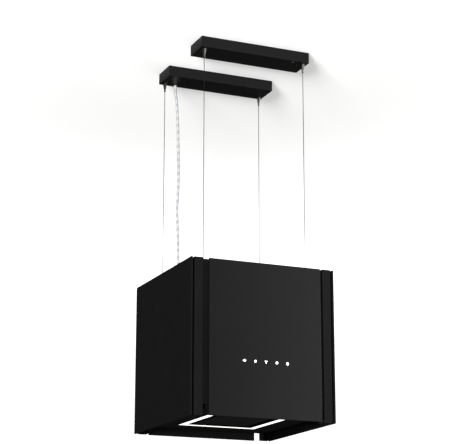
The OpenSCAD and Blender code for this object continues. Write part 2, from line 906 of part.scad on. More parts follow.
// Three arms from the inlet collar to the motor can
module motor_spider() {
    low = blower_half;
    high = blower_half + 3;
    color([0.3, 0.3, 0.3]) in_hood() at_blower() difference() {
        union() {
            rod_x(low, high, motor_r + 4);
            difference() {
                rod_x(low, high, inlet_r);
                rod_x(low - 1, high + 1, inlet_r - 3);
            }
            for (a = [60 : 120 : 300]) rotate([a, 0, 0]) block([low, -5, motor_r], [high, 5, inlet_r - 2]);
        }
        rod_x(low - 1, high + 1, motor_r);
    }
}

// Angles on the outlet duct, hung from the lid on four rubber mounts
module blower_brackets() {
    rubber_t = 4;
    rubber_r = 6;
    leg_t = 2;
    leg_h = 34;
    shelf_w = 26;
    y0 = 15;
    y1 = 75;
    inset = 12;
    top = cover_z - rubber_t;
    color([0.6, 0.6, 0.6]) in_hood() left_and_right() {
        block([blower_half, y0, top - leg_h], [blower_half + leg_t, y1, top]);
        block([blower_half, y0, top - leg_t], [blower_half + shelf_w, y1, top]);
        for (y = [y0 + inset, y1 - inset])
            translate([blower_half + 15, y, top]) cylinder(h = rubber_t, r = rubber_r);
    }
}

// Round carbon filter, with a skirt whose three hooks lock behind the collar's lugs
module carbon_filter() {
    skirt_in = 68;
    skirt_out = 71;
    face_x = blower_half + collar_l + 0.5;
    hook_x = blower_half + 2;
    disc_t = 20;
    disc_r = 86;
    color([0.13, 0.13, 0.13]) in_hood() at_blower() {
        rod_x(face_x, face_x + disc_t, disc_r);
        difference() {
            rod_x(hook_x, face_x, skirt_out);
            rod_x(hook_x - 1, face_x + 1, skirt_in);
        }
        for (a = [0 : 120 : 240]) rotate([a, 0, 0])
            block([hook_x, -8, inlet_r + collar_t + 0.6], [hook_x + 2, 8, skirt_in + 1]);
        rotate([45, 0, 0]) block([face_x + disc_t - 1, -25, -4], [face_x + disc_t + 8, 25, 4]);
    }
}

module carbon_filter_right() { carbon_filter(); }
module carbon_filter_left() { mirror([1, 0, 0]) carbon_filter(); }

// ---- Electrics ----

// Closed box on the right casing wall, with the power board on four stand-offs in it
module power_box() {
    wall = 2;
    low = [post_in - 38, -70, 240];
    high = [post_in, 50, 325];
    shell = [wall, wall, wall];
    board_x = low.x + wall + 4;
    board_t = 1.6;
    edge = 6;
    capacitor_r = 10;
    color([0.85, 0.85, 0.83]) in_hood() {
        difference() {
            block(low, high);
            block(low + shell, high - shell);
        }
        block([board_x, low.y + edge, low.z + edge], [board_x + board_t, high.y - edge, high.z - edge]);
        for (y = [low.y + 2 * edge, high.y - 2 * edge], z = [low.z + 2 * edge, high.z - 2 * edge])
            translate([0, y, z]) rod_x(low.x + wall - 1, board_x + 1, 3);
        block([board_x, -40, 260], [board_x + 20, -10, 300]);
        translate([board_x + board_t + capacitor_r - 0.5, 25, 252]) cylinder(h = 60, r = capacitor_r);
    }
}

// Light driver and the motor's run capacitor, on the left casing wall
module light_driver() {
    size = [30, 120, 30];
    low_z = 275;
    capacitor_r = 15;
    capacitor_l = 60;
    capacitor_y = -105;
    clip = [5, 16, 20];
    color([0.9, 0.9, 0.9]) in_hood() {
        block([-post_in, -size.y / 2, low_z], [size.x - post_in, size.y / 2, low_z + size.z]);
        translate([clip.x + capacitor_r - 2 - post_in, capacitor_y, low_z - 35])
            cylinder(h = capacitor_l, r = capacitor_r);
        block([-post_in, capacitor_y - clip.y / 2, low_z - 15],
              [clip.x - post_in, capacitor_y + clip.y / 2, low_z - 15 + clip.z]);
    }
}

module inner_leads() {
    color([0.2, 0.2, 0.2]) in_hood() {
        tube(smooth(supply_route, 2), cord_d / 2, 8, [0.3, 0.2, 1]);
        tube(smooth(touch_route, 2), 2, 8, [0.9, 0.1, 0.2]);
        tube(smooth(light_route, 2), 2, 8, [0.9, 0.1, 0.2]);
    }
}

// ---- Nodes ----

canopy_front();
canopy_rear();
ceiling_brackets();
canopy_screws();
gripper_bodies();
gripper_nuts();
release_springs();
terminal_block();
canopy_gland();
power_cord();
wire_front_left();
wire_front_right();
wire_rear_left();
wire_rear_right();
plunger_front_left();
plunger_front_right();
plunger_rear_left();
plunger_rear_right();
side_panel_left();
side_panel_right();
corner_posts();
front_glass();
rear_glass();
glass_standoffs();
touch_icons();
touch_housing();
touch_board();
casing_front();
casing_rear();
casing_sides();
top_cover();
outlet_grille();
lift_bars();
wire_anchors();
hood_gland();
bottom_plate();
light_tray();
light_strips();
light_diffuser();
filter_housing();
grease_filter_rim();
grease_filter_mesh();
filter_latch();
suction_panel();
hinge_brackets();
catch_magnets();
blower_housing_left();
blower_housing_right();
impeller();
motor_rotor();
motor_can();
motor_stator();
motor_bearings();
motor_spider();
blower_brackets();
carbon_filter_left();
carbon_filter_right();
power_box();
light_driver();
inner_leads();
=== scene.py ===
# %% [markdown]
# # An island range hood on four steel wires
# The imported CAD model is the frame: it fixes every place and size, and this script gives it its looks.
# The origin is on the ceiling, midway between the two canopies. +Z is up, the glass with the touch
# icons faces -Y, and lengths are in metres, as always in Blender.

# %% Load the frame
import json
import math

import bmesh
import bpy
from mathutils import Matrix, Vector


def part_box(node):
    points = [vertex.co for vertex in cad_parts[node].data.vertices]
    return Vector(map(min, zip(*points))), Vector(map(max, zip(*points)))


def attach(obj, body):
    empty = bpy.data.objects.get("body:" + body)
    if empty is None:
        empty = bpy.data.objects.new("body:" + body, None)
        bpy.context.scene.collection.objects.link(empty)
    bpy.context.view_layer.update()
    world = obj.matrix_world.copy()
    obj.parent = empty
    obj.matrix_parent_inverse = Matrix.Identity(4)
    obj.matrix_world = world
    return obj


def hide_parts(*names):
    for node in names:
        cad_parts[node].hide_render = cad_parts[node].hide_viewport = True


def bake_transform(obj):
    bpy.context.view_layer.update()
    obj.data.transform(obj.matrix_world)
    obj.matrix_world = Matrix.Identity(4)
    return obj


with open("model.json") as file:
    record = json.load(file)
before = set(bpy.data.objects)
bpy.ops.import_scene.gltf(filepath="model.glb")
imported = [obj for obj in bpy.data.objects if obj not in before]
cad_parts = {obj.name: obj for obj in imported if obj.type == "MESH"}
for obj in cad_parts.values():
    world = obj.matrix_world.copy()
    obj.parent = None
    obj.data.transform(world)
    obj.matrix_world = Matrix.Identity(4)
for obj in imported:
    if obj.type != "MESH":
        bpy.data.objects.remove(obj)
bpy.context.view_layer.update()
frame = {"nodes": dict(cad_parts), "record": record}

MM = 0.001
NODES = frame["nodes"]
BODY_OF = {n: body for body, held in frame["record"]["behaviour"]["bodies"].items() for n in held}
SHOP = bpy.context.scene.collection
HOOD_LOW = round(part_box("side_panel_left")[0].z / MM, 1)
WIRE_AT = 127
CORNERS = (("front_left", -1, -1), ("front_right", 1, -1), ("rear_left", -1, 1), ("rear_right", 1, 1))
print("the hood's foot is", -HOOD_LOW, "mm below the ceiling, its wires", 2 * WIRE_AT, "mm apart")

# %% [markdown]
# ## The camera
# The hood is seen from below and from its left, with a long lens, so that its sides stay nearly
# parallel. The lens is not shifted: a tall object stays in the frame from every other side as well.

# %% Set the camera
camera = bpy.data.objects.new("camera", bpy.data.cameras.new("camera"))
SHOP.objects.link(camera)
CAMERA_UP = 15.205
CAMERA_TURN = 23.556
camera.location = (-1.3925, -3.1993, -1.3468)
camera.rotation_euler = (math.radians(90 + CAMERA_UP), 0, math.radians(-CAMERA_TURN))
camera.data.sensor_width = 36
camera.data.lens = 117.8
bpy.context.scene.camera = camera
print("camera", tuple(camera.location), "looking up", CAMERA_UP, "degrees")

# %% [markdown]
# ## Colours and nodes
# Colours are chosen as on a screen, in sRGB, while Cycles counts in linear light, so one function
# turns them. A second one adds any node with its constants, its links and its settings. A pattern's
# scale is the number of its grains in a metre, which a third one works out from a size in millimetres.

# %% Small helpers for materials
def linear(code):
    """A screen colour such as #c8c9ca as linear red, green, blue and alpha."""
    parts = [int(code[i:i + 2], 16) / 255 for i in (1, 3, 5)]
    return (*[p / 12.92 if p <= 0.04045 else ((p + 0.055) / 1.055) ** 2.4 for p in parts], 1.0)


def add(tree, kind, values=None, links=None, **settings):
    """Adds a node: settings are its own, values are constants on its inputs, links are sockets."""
    node = tree.nodes.new(kind)
    for key, value in settings.items():
        setattr(node, key, value)
    for key, value in (values or {}).items():
        node.inputs[key].default_value = value
    for key, socket in (links or {}).items():
        tree.links.new(socket, node.inputs[key])
    return node


def per_metre(size_mm):
    return 1000.0 / size_mm


def finish(name, colour, roughness, metallic=0.0, **fixed):
    """A new material: its tree, its shader with the constants set, and its object coordinates."""
    material = bpy.data.materials.new(name)
    material.use_nodes = True
    tree = material.node_tree
    shader = tree.nodes["Principled BSDF"]
    shader.inputs["Base Color"].default_value = linear(colour)
    shader.inputs["Roughness"].default_value = roughness
    shader.inputs["Metallic"].default_value = metallic
    for key, value in fixed.items():
        shader.inputs[key.replace("_", " ")].default_value = value
    place = add(tree, "ShaderNodeTexCoord").outputs["Object"]
    return material, tree, shader, place


def vary(tree, shader, socket, pattern, low, high):
    """Lets a pattern move one value of the shader between low and high."""
    spread = add(tree, "ShaderNodeMapRange", {"To Min": low, "To Max": high}, {"Value": pattern})
    tree.links.new(spread.outputs["Result"], shader.inputs[socket])


def tint(tree, shader, pattern, colours):
    """Lets a pattern move the colour through the given ones, evenly spaced."""
    ramp = add(tree, "ShaderNodeValToRGB", links={"Fac": pattern})
    while len(ramp.color_ramp.elements) < len(colours):
        ramp.color_ramp.elements.new(0.5)
    for i, code in enumerate(colours):
        ramp.color_ramp.elements[i].position = i / (len(colours) - 1)
        ramp.color_ramp.elements[i].color = linear(code)
    tree.links.new(ramp.outputs["Color"], shader.inputs["Base Color"])


def relief(tree, shader, pattern, height_mm, strength=1.0):
    """Lets a pattern raise the surface by up to height_mm."""
    bump = add(tree, "ShaderNodeBump", {"Strength": strength, "Distance": height_mm * MM},
               {"Height": pattern})
    tree.links.new(bump.outputs["Normal"], shader.inputs["Normal"])


def grain(tree, place, size_mm, detail=2.0, stretch=None):
    """Cloudy noise whose grains measure size_mm, longer along one axis where stretch says so."""
    if stretch:
        place = add(tree, "ShaderNodeMapping", {"Scale": stretch}, {"Vector": place}).outputs[0]
    noise = add(tree, "ShaderNodeTexNoise", {"Scale": per_metre(size_mm), "Detail": detail},
                {"Vector": place})
    return noise.outputs["Fac"]


print("white as light:", linear("#ffffff"), "and a mid grey:", linear("#808080"))

# %% [markdown]
# ## Black powder coat
# The side walls, strips and canopies are steel with a satin black powder coat. The powder melts into
# a skin with a very fine orange peel, which spreads reflections into a soft sheen. The real peel is
# about 0.4 mm across; it is drawn at 1.5 mm, so that it still shows a little from a metre away.

# %% Powder coats
def powder_coat(name, colours, roughness, peel_mm, peel_height, sheen_level):
    material, tree, shader, place = finish(name, colours[0], roughness, Specular_IOR_Level=sheen_level)
    tint(tree, shader, grain(tree, place, 60, 3), colours)
    vary(tree, shader, "Roughness", grain(tree, place, 25, 4), roughness - 0.05, roughness + 0.05)
    relief(tree, shader, grain(tree, place, peel_mm, 3), peel_height)
    return material


SATIN_BLACK = powder_coat("satin_black_powder_coat", ["#050505", "#080808"], 0.42, 1.5, 0.02, 0.30)
CANOPY_BLACK = powder_coat("canopy_black_powder_coat", ["#060606", "#090909"], 0.44, 1.5, 0.02, 0.34)
PANEL_BLACK = powder_coat("suction_panel_black_paint", ["#080809", "#0b0b0c"], 0.34, 1.8, 0.015, 0.26)
MATT_SHEET = powder_coat("matt_black_painted_sheet", ["#060606", "#0a0a0a"], 0.55, 1.2, 0.03, 0.30)
print("powder coats:", SATIN_BLACK.name, CANOPY_BLACK.name, PANEL_BLACK.name, MATT_SHEET.name)

# %% [markdown]
# ## Black glass
# The front and rear are toughened glass, painted black on the back: the surface is nearly a mirror
# and all the colour lies behind it. Rolling and heating leave slow waves in it, far too low to see
# but enough to bend a reflection, and hands leave faint smears that only change its roughness.

# %% Black glass
BLACK_GLASS, tree, shader, place = finish("black_painted_glass", "#060607", 0.08, IOR=1.5)
vary(tree, shader, "Roughness", grain(tree, place, 90, 5, (1.0, 1.0, 0.6)), 0.05, 0.13)
relief(tree, shader, grain(tree, place, 140, 1, (1.0, 1.0, 0.5)), 0.25, 0.35)
tint(tree, shader, grain(tree, place, 200, 1), ["#060607", "#080809"])

# The paint itself is seen on the inner side, where it is matt and slightly uneven.
GLASS_PAINT, tree, shader, place = finish("black_enamel_on_glass", "#0a0a0a", 0.62,
                                          Specular_IOR_Level=0.3)
tint(tree, shader, grain(tree, place, 30, 4), ["#090909", "#0f0f0f"])
vary(tree, shader, "Roughness", grain(tree, place, 8, 4), 0.55, 0.75)
relief(tree, shader, grain(tree, place, 1.2, 3), 0.02)
print("glass:", BLACK_GLASS.name, "and", GLASS_PAINT.name)

# %% [markdown]
# ## Bare metals
# Zinc on galvanised sheet freezes in flat crystals, the spangle, which a Voronoi pattern draws cell
# by cell. Plated parts are turned on a lathe first, so fine rings run round them under the nickel.
# Aluminium is pressed and stays dull with long soft streaks. The wires are bare stainless strands.

# %% Galvanised sheet, nickel plate, aluminium and stainless wire
GALVANISED, tree, shader, place = finish("galvanised_sheet", "#a9adb0", 0.38, 1.0)
spangle = add(tree, "ShaderNodeTexVoronoi", {"Scale": per_metre(7)}, {"Vector": place})
tint(tree, shader, spangle.outputs["Color"], ["#8f9396", "#b9bdc0", "#a2a6a9"])
vary(tree, shader, "Roughness", spangle.outputs["Color"], 0.28, 0.48)
relief(tree, shader, spangle.outputs["Distance"], 0.02)

NICKEL, tree, shader, place = finish("satin_nickel_plate", "#c9c5bd", 0.24, 1.0)
rings = grain(tree, place, 1.2, 2, (0.15, 0.15, 2.2))
vary(tree, shader, "Roughness", rings, 0.16, 0.34)
tint(tree, shader, grain(tree, place, 12, 2), ["#bdb9b1", "#d2cec6"])
relief(tree, shader, rings, 0.012)

ALUMINIUM, tree, shader, place = finish("pressed_aluminium", "#c6c8cb", 0.36, 1.0)
streaks = grain(tree, place, 5, 3, (0.12, 1.6, 1.6))
vary(tree, shader, "Roughness", streaks, 0.28, 0.46)
tint(tree, shader, streaks, ["#b9bbbe", "#d0d2d4"])
relief(tree, shader, grain(tree, place, 0.8, 2), 0.01)

WIRE_STEEL, tree, shader, place = finish("stranded_stainless_wire", "#4a4b4d", 0.42, 1.0)
strands = add(tree, "ShaderNodeTexWave", {"Scale": per_metre(9), "Distortion": 0.4},
              {"Vector": place}, bands_direction="Z")
tint(tree, shader, strands.outputs["Fac"], ["#3c3d40", "#5c5d60"])
vary(tree, shader, "Roughness", strands.outputs["Fac"], 0.26, 0.44)
relief(tree, shader, strands.outputs["Fac"], 0.05)
print("metals:", GALVANISED.name, NICKEL.name, ALUMINIUM.name, WIRE_STEEL.name)

# %% [markdown]
# ## Plastics and rubber
# ABS mouldings copy the fine spark texture of their mould. Rubber is duller still and never quite
# clean. The lead has a clear grey PVC jacket, through which its twisted cores show as soft bands.

# %% Mouldings, rubber and the lead's jacket
def moulding(name, colours, roughness, spark_mm, spark_height):
    material, tree, shader, place = finish(name, colours[0], roughness, IOR=1.53)
    tint(tree, shader, grain(tree, place, 40, 2), colours)
    vary(tree, shader, "Roughness", grain(tree, place, 15, 3), roughness - 0.04, roughness + 0.06)
    relief(tree, shader, grain(tree, place, spark_mm, 4), spark_height)
    return material


BLACK_ABS = moulding("moulded_black_abs", ["#131314", "#19191a"], 0.42, 0.9, 0.03)
WHITE_ABS = moulding("moulded_white_nylon", ["#dcdad2", "#e8e6df"], 0.38, 1.1, 0.02)
RUBBER = moulding("moulded_black_rubber", ["#0e0e0e", "#171716"], 0.68, 1.0, 0.04)

JACKET, tree, shader, place = finish("clear_grey_pvc_jacket", "#838485", 0.34, IOR=1.53,
                                     Subsurface_Weight=0.2)
shader.inputs["Subsurface Scale"].default_value = 0.003
along = add(tree, "ShaderNodeUVMap", uv_map="along").outputs["UV"]
slant = add(tree, "ShaderNodeMapping", {"Rotation": (0, 0, math.radians(12))}, {"Vector": along})
cores = add(tree, "ShaderNodeTexWave", {"Scale": per_metre(55), "Distortion": 0.8, "Detail": 1.0},
            {"Vector": slant.outputs[0]}, bands_direction="Y")
tint(tree, shader, cores.outputs["Fac"], ["#737475", "#838485", "#8a8b8c"])
vary(tree, shader, "Roughness", grain(tree, place, 9, 3), 0.22, 0.36)
relief(tree, shader, cores.outputs["Fac"], 0.08)
print("plastics:", BLACK_ABS.name, WHITE_ABS.name, RUBBER.name, JACKET.name)

# %% [markdown]
# ## What shines
# The light ring is opal acrylic with lit strips behind it. The strips' chips are 15 mm apart, so the
# acrylic is very slightly brighter in front of each. Both edges of the ring are masked black, so the
# light leaves through a clean even band. The icons are printed white and lit from behind.

# %% Lit opal acrylic and lit print
OPAL, tree, shader, place = finish("lit_opal_acrylic", "#f4f4f2", 0.30, IOR=1.49)
chips = add(tree, "ShaderNodeTexVoronoi", {"Scale": per_metre(15), "Randomness": 0.0}, {"Vector": place})
glow = add(tree, "ShaderNodeMapRange", {"To Min": 1.5, "To Max": 1.3},
           {"Value": chips.outputs["Distance"]})
shader.inputs["Emission Color"].default_value = linear("#fffefa")

BAND_MIDDLE = 88 * MM
BAND_HALF = 7 * MM
spot = add(tree, "ShaderNodeSeparateXYZ", links={"Vector": place}).outputs
aside = add(tree, "ShaderNodeMath", links={0: spot["X"]}, operation="ABSOLUTE").outputs[0]
along = add(tree, "ShaderNodeMath", links={0: spot["Y"]}, operation="ABSOLUTE").outputs[0]
out = add(tree, "ShaderNodeMath", links={0: aside, 1: along}, operation="MAXIMUM").outputs[0]
band = add(tree, "ShaderNodeMath", {1: BAND_MIDDLE, 2: BAND_HALF}, {0: out}, operation="COMPARE")
lit = add(tree, "ShaderNodeMath", links={0: band.outputs[0], 1: glow.outputs["Result"]},
          operation="MULTIPLY")
tree.links.new(lit.outputs[0], shader.inputs["Emission Strength"])
tint(tree, shader, band.outputs[0], ["#0a0a0a", "#f4f4f2"])
relief(tree, shader, grain(tree, place, 0.8, 2), 0.01)


def lit_print(name, strength):
    material, tree, shader, place = finish(name, "#f2f2f2", 0.45)
    shader.inputs["Emission Color"].default_value = linear("#ffffff")
    vary(tree, shader, "Emission Strength", grain(tree, place, 2, 1), strength * 0.92, strength)
    return material


ICON_DIM = lit_print("lit_print_dim", 0.28)
ICON_LIT = lit_print("lit_print", 0.75)
ICON_BRIGHT = lit_print("lit_print_bright", 1.25)
print("lights:", OPAL.name, ICON_DIM.name, ICON_LIT.name, ICON_BRIGHT.name)

# %% [markdown]
# ## Inner finishes
# Circuit boards are glass fibre under a green lacquer. The motor's winding is enamelled copper wire
# of 0.6 mm, seen as fine ribs. The carbon filters hold black granules about 3 mm across.

# %% Circuit board, winding and carbon
CIRCUIT, tree, shader, place = finish("green_solder_mask", "#123c22", 0.32, IOR=1.55)
tracks = add(tree, "ShaderNodeTexVoronoi", {"Scale": per_metre(6)}, {"Vector": place},
             distance="CHEBYCHEV", feature="DISTANCE_TO_EDGE")
tint(tree, shader, tracks.outputs["Distance"], ["#1f5a35", "#123c22", "#0f331d"])
relief(tree, shader, tracks.outputs["Distance"], 0.05)

WINDING, tree, shader, place = finish("enamelled_copper_winding", "#9a5636", 0.30, 1.0)
turns = add(tree, "ShaderNodeTexWave", {"Scale": per_metre(12), "Distortion": 1.0},
            {"Vector": place}, wave_type="RINGS", rings_direction="X")
tint(tree, shader, turns.outputs["Fac"], ["#7a3f26", "#b06a45"])
relief(tree, shader, turns.outputs["Fac"], 0.2)

CARBON, tree, shader, place = finish("activated_carbon_granules", "#101011", 0.6, IOR=1.5)
granules = add(tree, "ShaderNodeTexVoronoi", {"Scale": per_metre(3.2)}, {"Vector": place})
tint(tree, shader, granules.outputs["Color"], ["#0b0b0c", "#1d1d1f", "#141415"])
vary(tree, shader, "Roughness", granules.outputs["Color"], 0.42, 0.8)
relief(tree, shader, granules.outputs["Distance"], 1.2)
print("inner finishes:", CIRCUIT.name, WINDING.name, CARBON.name)

# %% [markdown]
# ## Putting a piece in its place
# Every finished piece moves with the CAD body whose node it stands for, hides that node and gets
# its finish. One function says all three, so that no piece is forgotten.

# %% Helpers that place pieces
def new_piece(name, bm, sharp=30):
    """An object from a bmesh, smooth apart from edges sharper than the angle given."""
    mesh = bpy.data.meshes.new(name)
    bm.to_mesh(mesh)
    bm.free()
    for face in mesh.polygons:
        face.use_smooth = True
    mesh.set_sharp_from_angle(angle=math.radians(sharp))
    piece = bpy.data.objects.new(name, mesh)
    SHOP.objects.link(piece)
    return piece


def put(piece, material, *nodes):
    """The piece gets its finish, rides with the first node's body and stands for the nodes."""
    piece.data.materials.clear()
    piece.data.materials.append(material)
    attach(piece, BODY_OF[nodes[0]])
    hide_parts(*nodes)
    return piece


def rounded(piece, edge_mm, segments=2):
    """Breaks the sharp edges, as every real edge is, so that they catch the light."""
    bevel = piece.modifiers.new("broken_edges", "BEVEL")
    bevel.width = edge_mm * MM
    bevel.segments = segments
    bevel.limit_method = "ANGLE"
    bevel.angle_limit = math.radians(35)
    bevel.harden_normals = True
    return piece


def edged(node, edge_mm):
    """A copy of a CAD node's mesh with its triangles merged into faces and its edges broken."""
    bm = bmesh.new()
    bm.from_mesh(NODES[node].data)
    bmesh.ops.remove_doubles(bm, verts=bm.verts, dist=1e-6)
    bmesh.ops.dissolve_limit(bm, angle_limit=math.radians(0.3), verts=bm.verts, edges=bm.edges)
    return rounded(new_piece(node + "_edged", bm), edge_mm)


print("bodies:", sorted(set(BODY_OF.values())))

# %% [markdown]
# ## Sweeping a section
# Wires, the lead and springs are all something round that follows a line, as they are drawn or
# extruded in the real works. One function smooths a route into a line, and another sweeps
# a section along it, keeping the section from twisting. The radius may change on the way.

# %% Sweep a section along a line
def smooth_line(route, steps):
    """A smooth curve through the points of a route, with steps points to each stretch."""
    points = [Vector(p) * MM for p in route]
    last = len(points) - 1
    line = []
    for i in range(last):
        p0, p1, p2, p3 = (points[max(min(i + k, last), 0)] for k in (-1, 0, 1, 2))
        for k in range(steps):
            t = k / steps
            line.append(0.5 * (2 * p1 + (p2 - p0) * t + (2 * p0 - 5 * p1 + 4 * p2 - p3) * t * t
                               + (3 * p1 - p0 - 3 * p2 + p3) * t * t * t))
    return line + [points[last]]


def swept(name, line, sides, radius_at):
    """A closed tube along a line. radius_at(way, angle) gives its radius; the UV map counts metres."""
    bm = bmesh.new()
    uv = bm.loops.layers.uv.new("along")
    rings, ways, way = [], [], 0.0
    side = Vector((0, 1, 0))
    for i, point in enumerate(line):
        way += (point - line[i - 1]).length if i else 0.0
        ways.append(way)
        ahead = (line[min(i + 1, len(line) - 1)] - line[max(i - 1, 0)]).normalized()
        across = ahead.cross(side).normalized()
        side = across.cross(ahead)
        ring = []
        for k in range(sides):
            angle = 2 * math.pi * k / sides
            out = math.cos(angle) * across + math.sin(angle) * side
            ring.append(bm.verts.new(point + radius_at(way, angle) * out))
        rings.append(ring)
    for i in range(len(rings) - 1):
        for k in range(sides):
            j = (k + 1) % sides
            face = bm.faces.new((rings[i][k], rings[i][j], rings[i + 1][j], rings[i + 1][k]))
            spots = ((k, i), (k + 1, i), (k + 1, i + 1), (k, i + 1))
            for loop, (turn, step) in zip(face.loops, spots):
                loop[uv].uv = (turn / sides * 0.02, ways[step])
    bm.faces.new(reversed(rings[0]))
    bm.faces.new(rings[-1])
    bmesh.ops.recalc_face_normals(bm, faces=bm.faces)
    return new_piece(name, bm, sharp=50)


def length_of(line):
    return sum((b - a).length for a, b in zip(line, line[1:]))

print("a line through two points, in five steps:", len(smooth_line([(0, 0, 0), (0, 0, 10)], 5)), "points")

# %% [markdown]
# ## The suspension wires
# A wire rope of 1.5 mm is six strands twisted round a core, one turn in about 9 mm. A tube is swept
# straight down with a six-lobed section that turns as it goes, so the strands are real geometry.
# The hood can be raised by 300 mm.

# %% Make the four wires
WIRE_R = 0.75 * MM
WIRE_STEPS = 480
WIRE_SIDES = 24
LAY = 9 * MM
STRANDS = 6
STRAND_DEPTH = 0.12 * MM


def strand_radius(way, angle):
    return WIRE_R - STRAND_DEPTH * (0.5 - 0.5 * math.cos(STRANDS * (angle - 2 * math.pi * way / LAY)))


for name, x, y in CORNERS:
    low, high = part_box("wire_" + name)
    top = Vector((x * WIRE_AT * MM, y * WIRE_AT * MM, high.z))
    drop = Vector((0, 0, low.z - high.z))
    line = [top + drop * i / WIRE_STEPS for i in range(WIRE_STEPS + 1)]
    wire = swept("wire_rope_" + name, line, WIRE_SIDES, strand_radius)
    wire.data.materials.append(WIRE_STEEL)
    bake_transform(wire)
    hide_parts("wire_" + name)
    print(wire.name, "is", round(length_of(line), 4), "m long")

# %% [markdown]
# ## The mains lead
# The lead hangs from the rear canopy to the top of the hood with a little slack, so it sways in two
# long bends instead of running straight. Its route is the one of the CAD model's tube.

# %% Make the mains lead
LEAD_ROUTE = [
    (-100, 127, -27.5), (-99, 127, -45), (-96, 128, -65), (-93, 129, -90), (-91, 130, -120),
    (-90, 130, -155), (-89, 130, -190), (-88, 130, -230), (-88, 130, -265), (-89, 129, -300),
    (-91, 129, -340), (-90, 128, -380), (-89, 128, -415), (-88, 127, -450), (-87, 127, -485),
    (-87, 127, -515.7)]
LEAD_R = 3.25 * MM
lead_line = smooth_line(LEAD_ROUTE, 7)
lead = swept("mains_lead", lead_line, 20, lambda way, angle: LEAD_R)
lead.data.materials.append(JACKET)
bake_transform(lead)
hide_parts("power_cord")
print("the lead is", round(length_of(lead_line), 4), "m long")

# %% [markdown]
# ## The black shell
# Walls, strips, glass and canopies are folded or cut sheet, so their shapes are already right in the
# frame. What a CAD model lacks is the small radius on each edge. Without it an edge is a hard line;
# with it a thin highlight runs along the fold, as it does on painted steel and on ground glass. The
# two glasses get their paint on the inner face, which is the one nearer the middle of the hood.

# %% Shell and canopies with broken edges
EDGE_DEPTH = 0.5
for node, material, edge_mm in (
        ("canopy_front", CANOPY_BLACK, 0.7), ("canopy_rear", CANOPY_BLACK, 0.7),
        ("side_panel_left", SATIN_BLACK, 0.5), ("side_panel_right", SATIN_BLACK, 0.5),
        ("corner_posts", SATIN_BLACK, 0.5), ("front_glass", BLACK_GLASS, 0.7),
        ("rear_glass", BLACK_GLASS, 0.7), ("casing_front", MATT_SHEET, 0.25),
        ("casing_rear", MATT_SHEET, 0.25), ("casing_sides", MATT_SHEET, 0.2),
        ("top_cover", SATIN_BLACK, 0.4), ("bottom_plate", MATT_SHEET, 0.4),
        ("suction_panel", PANEL_BLACK, 0.5), ("light_tray", MATT_SHEET, 0.2),
        ("light_diffuser", OPAL, 0.3), ("filter_housing", BLACK_ABS, 0.4),
        ("grease_filter_rim", ALUMINIUM, 0.5), ("filter_latch", BLACK_ABS, 0.4),
        ("glass_standoffs", GALVANISED, 0.3), ("touch_housing", BLACK_ABS, 0.3),
        ("touch_board", CIRCUIT, 0.1), ("lift_bars", GALVANISED, 0.4),
        ("hinge_brackets", GALVANISED, 0.2), ("catch_magnets", GALVANISED, 0.3),
        ("ceiling_brackets", GALVANISED, 0.3), ("terminal_block", WHITE_ABS, 0.4),
        ("gripper_nuts", NICKEL, 0.3), ("light_strips", WHITE_ABS, 0.1),
        ("blower_housing_left", BLACK_ABS, 0.5), ("blower_housing_right", BLACK_ABS, 0.5),
        ("motor_rotor", GALVANISED, 0.4), ("motor_can", GALVANISED, 0.8),
        ("motor_stator", WINDING, 0.8), ("motor_bearings", NICKEL, 0.3),
        ("motor_spider", BLACK_ABS, 0.4), ("blower_brackets", GALVANISED, 0.3),
        ("power_box", WHITE_ABS, 0.8), ("light_driver", WHITE_ABS, 0.8),
        ("inner_leads", RUBBER, 0.05)):
    piece = put(edged(node, edge_mm), material, node)
    if material is BLACK_GLASS:
        inner_face = min(abs(corner.y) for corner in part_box(node)) + EDGE_DEPTH * MM
        piece.data.materials.append(GLASS_PAINT)
        for face in piece.data.polygons:
            face.material_index = int(abs(face.center.y) < inner_face)
    print(piece.name, len(piece.data.polygons), "faces before its edges are broken")

# %% [markdown]
# ## Turned parts
# Grippers, plungers, anchors and strain reliefs are round, so each is drawn as half its outline and
# spun about its axis. The outline may then have what makes it look machined: chamfers, a groove, a
# land. Each outline stays within the CAD part it stands for.

# %% Turn outlines on a lathe
def turned(bm, outline, centre, sides=40):
    """Spins an outline of (radius, height) points in millimetres about an upright axis.
    An outline that starts and ends off the axis is joined up into a ring with a bore."""
    rings = []
    for radius, height in outline:
        if radius == 0:
            rings.append([bm.verts.new((centre[0] * MM, centre[1] * MM, height * MM))])
            continue
        rings.append([bm.verts.new(((centre[0] + radius * math.cos(2 * math.pi * k / sides)) * MM,
                                    (centre[1] + radius * math.sin(2 * math.pi * k / sides)) * MM,
                                    height * MM)) for k in range(sides)])
    pairs = list(zip(rings, rings[1:]))
    if outline[0][0] and outline[-1][0]:
        pairs.append((rings[-1], rings[0]))
    for low, high in pairs:
        for k in range(sides):
            j = (k + 1) % sides
            corners = [low[k % len(low)], low[j % len(low)], high[j % len(high)], high[k % len(high)]]
            bm.faces.new(list(dict.fromkeys(corners)))


def spun(name, outlines, sides=40):
    """A piece of several turned parts, each given as its outline and its centre."""
    bm = bmesh.new()
    for outline, centre in outlines:
        turned(bm, outline, centre, sides)
    bmesh.ops.recalc_face_normals(bm, faces=bm.faces)
    return new_piece(name, bm)


WIRE_SPOTS = [(x, y) for x in (-WIRE_AT, WIRE_AT) for y in (-WIRE_AT, WIRE_AT)]
print("the wires hang at", WIRE_SPOTS)

# %% [markdown]
# ## Grippers
# A gripper lets its wire be pulled up and holds it against going down: balls wedge the wire in a
# cone. The plunger at its foot pushes the balls up and frees the wire. Both are turned and nickel
# plated. The groove round each is there for the fingers, and is cut with the same tool.

